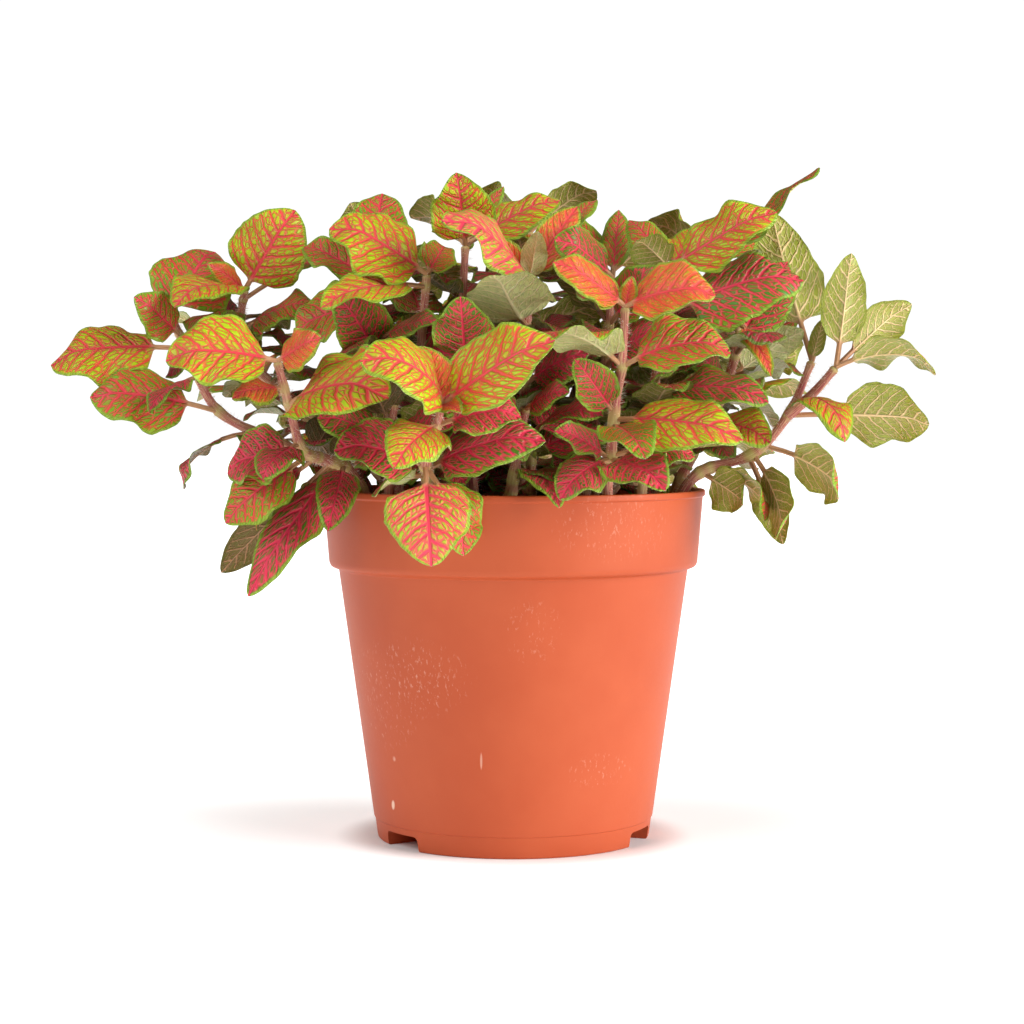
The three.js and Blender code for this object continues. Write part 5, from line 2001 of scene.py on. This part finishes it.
@dataclass
class GrowersPot:
    """The moulded pot: a lip, a deep collar, a tapering wall with a step near its foot, and three notches."""

    foot_radius: float = 42.6
    slope: float = 0.141
    wall: float = 1.4
    floor: float = 1.8
    lip_height: float = 1.8
    lip_step: float = 0.7
    band_height: float = 23.5
    band_step: float = 3.0
    foot_height: float = 6.5
    foot_step: float = 0.35
    sides: int = 144
    notch_first: float = -53.0
    notch_count: int = 3
    notch_width: float = 16.0
    notch_height: float = 4.6
    notch_depth: float = 14.0
    notch_round: float = 1.6
    drain: float = 3.0
    drain_inset: float = 4.0
    drain_below: float = 1.0
    cap_foot: float = 0.2
    cap_inset: float = 1.3
    cap_round: float = 1.2
    round_steps: int = 4
    past: float = 4.0
    sharpest: float = 30

    def wall_at(self, height: float) -> float:
        """The wall's outer radius at a height."""
        return self.foot_radius + self.slope * height

    def notch_turns(self) -> list[float]:
        """How far round from the front each notch stands, in degrees."""
        return [self.notch_first + number * 360 / self.notch_count for number in range(self.notch_count)]

    def profile(self) -> list[Pair]:
        """The pot's outline from the axis, up the outside and down the inside.

        Returns:
            Radius and height of each point, in millimetres, round the section.
        """
        band = POT_HEIGHT - self.band_height
        shoulder = self.wall_at(band)
        foot = self.wall_at(self.foot_height)
        corners = [
            (0, 0, 0),
            (self.foot_radius, 0, 0.7),
            (foot, self.foot_height, 0.1),
            (foot + self.foot_step, self.foot_height + 0.3, 0.12),
            (shoulder, band - 1.2, 0.6),
            (shoulder + self.band_step - 0.6, band - 0.4, 0.8),
            (shoulder + self.band_step, band + 0.8, 0.9),
            (RIM_RADIUS - self.lip_step, POT_HEIGHT - self.lip_height - 0.4, 0.15),
            (RIM_RADIUS, POT_HEIGHT - self.lip_height, 0.25),
            (RIM_RADIUS, POT_HEIGHT, 0.6),
            (RIM_RADIUS - self.wall - 0.4, POT_HEIGHT, 0.6),
            (shoulder + self.band_step - self.wall, band + 2, 1.2),
            (shoulder - self.wall, band - 1.6, 1.2),
            (self.wall_at(self.floor) - self.wall, self.floor, 1.5),
            (0, self.floor, 0),
        ]
        return rounded(corners)

    def block(self, width: float, reach: Pair, rise: Pair, turn: float, back: float) -> Piece:
        """A rounded block across a radius of the pot.

        Args:
            width: across.
            reach: how near the axis it starts and how far out it ends.
            rise: its bottom and top.
            turn: degrees round from the front.
            back: how far its upright and upper edges are rounded.

        Returns:
            The block.
        """
        block = fresh(bpy.ops.mesh.primitive_cube_add, size=1)
        size = np.array([width, reach[1] - reach[0], rise[1] - rise[0]])
        middle = np.array([0, -(reach[0] + reach[1]) / 2, (rise[0] + rise[1]) / 2])
        set_points(block, (points_of(block) * size + middle) * MM)
        edges = block.modifiers.new("edges", "BEVEL")
        edges.width = back * MM
        edges.segments = self.round_steps
        apply_modifiers(block)
        c, s = math.cos(math.radians(turn)), math.sin(math.radians(turn))
        set_points(block, points_of(block) @ np.array([[c, s, 0], [-s, c, 0], [0, 0, 1]]))
        return block

    def combine(self, pot: Piece, block: Piece, operation: str) -> None:
        """Adds a block to the pot, or cuts it out.

        Args:
            pot: the pot.
            block: the block, which is used up.
            operation: Blender's name for it.
        """
        boolean = pot.modifiers.new("block", "BOOLEAN")
        boolean.operation = operation
        boolean.solver = "EXACT"
        boolean.object = block
        apply_modifiers(pot)
        bpy.data.objects.remove(block)

    def build(self) -> Piece:
        """The finished pot.

        Returns:
            The pot.
        """
        pot = spun(self.profile(), self.sides, "grower_pot")
        back = self.foot_radius - self.notch_depth
        inset = back + self.drain_inset
        wide = self.notch_width
        for turn in self.notch_turns():
            outer = (back - self.wall, self.foot_radius - self.cap_inset)
            rise = (self.cap_foot, self.notch_height + self.wall)
            cap = self.block(wide + 2 * self.wall, outer, rise, turn, self.cap_round)
            self.combine(pot, cap, "UNION")
            reach = (back, self.foot_radius + self.past)
            hollow = self.block(wide, reach, (-self.past, self.notch_height), turn, self.notch_round)
            self.combine(pot, hollow, "DIFFERENCE")
            rise = (self.notch_height - self.drain_below, self.notch_height + self.past)
            hole = self.block(wide / 2, (inset, inset + self.drain), rise, turn, self.cap_round)
            self.combine(pot, hole, "DIFFERENCE")
        finish_mesh(pot, MouldedPlastic().build(), self.sharpest)
        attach(pot, BODY)
        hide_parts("pot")
        return pot


@dataclass
class Compost:
    """The compost in the pot, crumbly on top."""

    pot: GrowersPot
    gap: float = 0.3
    band_rise: float = 3.5
    band_out: float = 0.7
    edge_out: float = 1.4
    edge_drop: float = 1.5
    lump: float = 1.2
    ripples: Pair = (0.31, 0.27)
    grain: tuple[float, float, float, int] = (0.22, 0.8, 2.1, 5)
    sides: int = 112
    rings: int = 40
    crumb_rise: float = 0.9
    crumbs: int = 420
    crumb_reach: float = 54.0
    crumb_lift: float = 0.2
    skin: float = 0.5
    below: float = 1.0
    band_drop: float = 2.0
    sharpest: Pair = (50, 70)
    crumb_size: Pair = (0.5, 1.7)
    crumb_stretch: Pair = (0.6, 1.3)
    crumb_uneven: Pair = (0.8, 1.15)
    seed: int = 5

    def profile(self) -> list[Pair]:
        """The compost's outline from the axis under it, out, up and back over its top.

        Returns:
            Radius and height of each point, in millimetres, round the section.
        """
        pot = self.pot
        band = POT_HEIGHT - pot.band_height
        shoulder = pot.wall_at(band)
        bottom = pot.floor + self.gap
        edge = shoulder + self.edge_out

        def inner(height: float) -> float:
            """How far out the compost reaches at a height."""
            return pot.wall_at(height) - pot.wall - 2 * self.gap

        profile = [
            (0, bottom),
            (inner(bottom), bottom),
            (inner(band - self.band_drop), band - self.band_drop),
            (shoulder + self.band_out, band + self.band_rise),
            (edge, SOIL_TOP - self.edge_drop),
        ]
        profile += [(edge * (1 - number / self.rings), SOIL_TOP) for number in range(1, self.rings)]
        return [*profile, (0, SOIL_TOP)]

    def swell(self, x: Array, y: Array) -> Array:
        """How far the compost's top stands over its mean height."""
        return self.lump * np.sin(x * self.ripples[0] + 1) * np.cos(y * self.ripples[1])

    def build(self) -> Piece:
        """The finished compost.

        Returns:
            The compost.
        """
        soil = spun(self.profile(), self.sides, "soil_top")
        points = points_of(soil) / MM
        x, y, z = points.T
        top = z > SOIL_TOP - self.skin
        scale, *grain = self.grain
        rough = np.array([noise.fractal(Vector(p) * scale, *grain) for p in points[top]])
        points[top, 2] += self.swell(x, y)[top] + self.crumb_rise * rough
        set_points(soil, points * MM)
        crumbs = self.scatter()
        for turn in self.pot.notch_turns():
            self.notch(soil, turn)
        finish = CrumbledCompost().build()
        finish_mesh(soil, finish, self.sharpest[0])
        finish_mesh(crumbs, finish, self.sharpest[1])
        piece = join([soil, crumbs], "compost")
        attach(piece, BODY)
        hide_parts("soil")
        return piece

    def notch(self, soil: Piece, turn: float) -> None:
        """Cuts the room of one notch out of the compost.

        Args:
            soil: the compost.
            turn: degrees round from the front.
        """
        pot = self.pot
        around = pot.wall + self.gap
        reach = (pot.foot_radius - pot.notch_depth - around, pot.foot_radius + pot.past)
        rise = (-self.below, pot.notch_height + around)
        room = pot.block(pot.notch_width + 2 * around, reach, rise, turn, pot.cap_round)
        pot.combine(soil, room, "DIFFERENCE")

    def scatter(self) -> Piece:
        """Crumbs that lie on the compost.

        Returns:
            The crumbs as one object.
        """
        template = fresh(bpy.ops.mesh.primitive_ico_sphere_add, subdivisions=1, radius=1)
        form = points_of(template)
        crumbs = repeated(template, self.crumbs, "crumbs")
        bpy.data.objects.remove(template)
        draw = np.random.default_rng(self.seed)
        radius = self.crumb_reach * np.sqrt(draw.uniform(0, 1, self.crumbs))
        turn = draw.uniform(0, 2 * math.pi, self.crumbs)
        x, y = radius * np.cos(turn), radius * np.sin(turn)
        height = SOIL_TOP + self.swell(x, y)
        size = between(self.crumb_size, draw.uniform(0, 1, self.crumbs) ** 2)
        stretch = draw.uniform(*self.crumb_stretch, (self.crumbs, 1, 3))
        uneven = draw.uniform(*self.crumb_uneven, (self.crumbs, len(form), 1))
        points = form[None] * uneven * stretch * size[:, None, None]
        points += np.stack([x, y, height + self.crumb_lift], axis=1)[:, None]
        set_points(crumbs, points.reshape(-1, 3) * MM)
        return crumbs


@dataclass
class Studio:
    """The plain pale floor, the soft lights and the camera at the photograph's angle."""

    camera_place: Triple = (-0.0004, -0.737, 0.1349)
    camera_pitch: float = 2.58
    focal_pixels: float = 2350.0
    image_width: float = 1024.0
    sensor: float = 36.0
    sky: float = 0.1
    paper: float = 1.05
    floor_size: float = 12.0
    floor_tones: Pair = (0.93, 0.95)
    floor_change: float = 3.0
    floor_shine: Pair = (0.8, 0.2)
    glow: float = 0.43
    # Inside unlit from the pot's axis the glow fades out: a painted contact shadow
    unlit: Pair = (0.042, 0.058)
    # More glow beyond far: painted light that washes out the soft shadows there
    far_glow: float = 0.26
    far: Pair = (0.065, 0.14)
    sun_spread: float = 50.0
    suns: tuple[tuple[str, Triple, float], ...] = (
        ("right_light", (1.0, -0.42, 0.36), 4.3),
        ("left_light", (-0.8, -0.4, 0.75), 1.6),
    )

    def build(self) -> None:
        """Sets the floor, the lights and the camera."""
        self.lay_floor()
        for name, place, strength in self.suns:
            self.sun(name, place, strength)
        self.open_sky()
        self.aim_camera()

    def lay_floor(self) -> None:
        """Lays the paper, which glows faintly, and more so far from the pot, except close round the pot,
        where the missing glow paints a shadow.
        """
        floor = fresh(bpy.ops.mesh.primitive_plane_add, size=self.floor_size)
        floor.name = "floor"
        paper = Finish("pale_floor", *self.floor_shine)
        shade = paper.noise(paper.place(), self.floor_change, 2.0)
        dark, light = ((tone, tone, tone, 1) for tone in self.floor_tones)
        paper.set("Base Color", shade.mix(dark, light))
        paper.set("Emission Color", (1, 1, 1, 1))
        # Painted shadow: the glow fades out close round the pot's foot. Painted light: more glow far from the
        # pot washes out shadows there.
        x, y, _ = paper.place().split()
        apart = x * x + y * y
        near = apart.rise(self.unlit[0] ** 2, self.unlit[1] ** 2) * self.glow
        paper.set("Emission Strength", near + apart.rise(self.far[0] ** 2, self.far[1] ** 2) * self.far_glow)
        floor.data.materials.append(paper.material)

    def sun(self, name: str, place: Sequence[float], strength: float) -> None:
        """Even soft light from one side.

        Args:
            name: the lamp's name.
            place: where the light comes from.
            strength: in watts on a square metre.
        """
        data = bpy.data.lights.new(name, "SUN")
        data.angle = math.radians(self.sun_spread)
        data.energy = strength
        lamp = bpy.data.objects.new(name, data)
        lamp.location = place
        lamp.rotation_euler = (-Vector(place)).to_track_quat("-Z", "Y").to_euler()
        bpy.context.scene.collection.objects.link(lamp)

    def open_sky(self) -> None:
        """Surrounds the scene with a dim sky that the camera itself sees as white paper."""
        world = bpy.data.worlds.new("pale_room")
        bpy.context.scene.world = world
        world.use_nodes = True
        backdrop = world.node_tree.nodes["Background"]
        feed(backdrop.inputs[0], (1, 1, 1, 1))
        ray = wired(world.node_tree, "ShaderNodeLightPath", {}, "Is Camera Ray")
        feed(backdrop.inputs[1], ray * (self.paper - self.sky) + self.sky)
        bpy.context.scene.view_settings.view_transform = "Standard"

    def aim_camera(self) -> None:
        """Sets the camera where the photograph was taken from."""
        data = bpy.data.cameras.new("camera")
        data.sensor_width = self.sensor
        data.lens = self.focal_pixels / self.image_width * self.sensor
        camera = bpy.data.objects.new("camera", data)
        camera.location = self.camera_place
        camera.rotation_euler = (math.radians(90 - self.camera_pitch), 0, 0)
        bpy.context.scene.collection.objects.link(camera)
        bpy.context.scene.camera = camera


def main() -> None:
    """Builds the studio, the pot, the compost and the plants, and reports each."""
    logging.basicConfig(level=logging.INFO, format="%(name)s: %(message)s")
    Studio().build()
    pot = GrowersPot()
    pieces = [pot.build(), Compost(pot).build(), *Greenery().build()]
    for piece in pieces:
        piece.data.calc_loop_triangles()
        log.info("%s has %d triangles", piece.name, len(piece.data.loop_triangles))


if __name__ == "__main__":
    main()
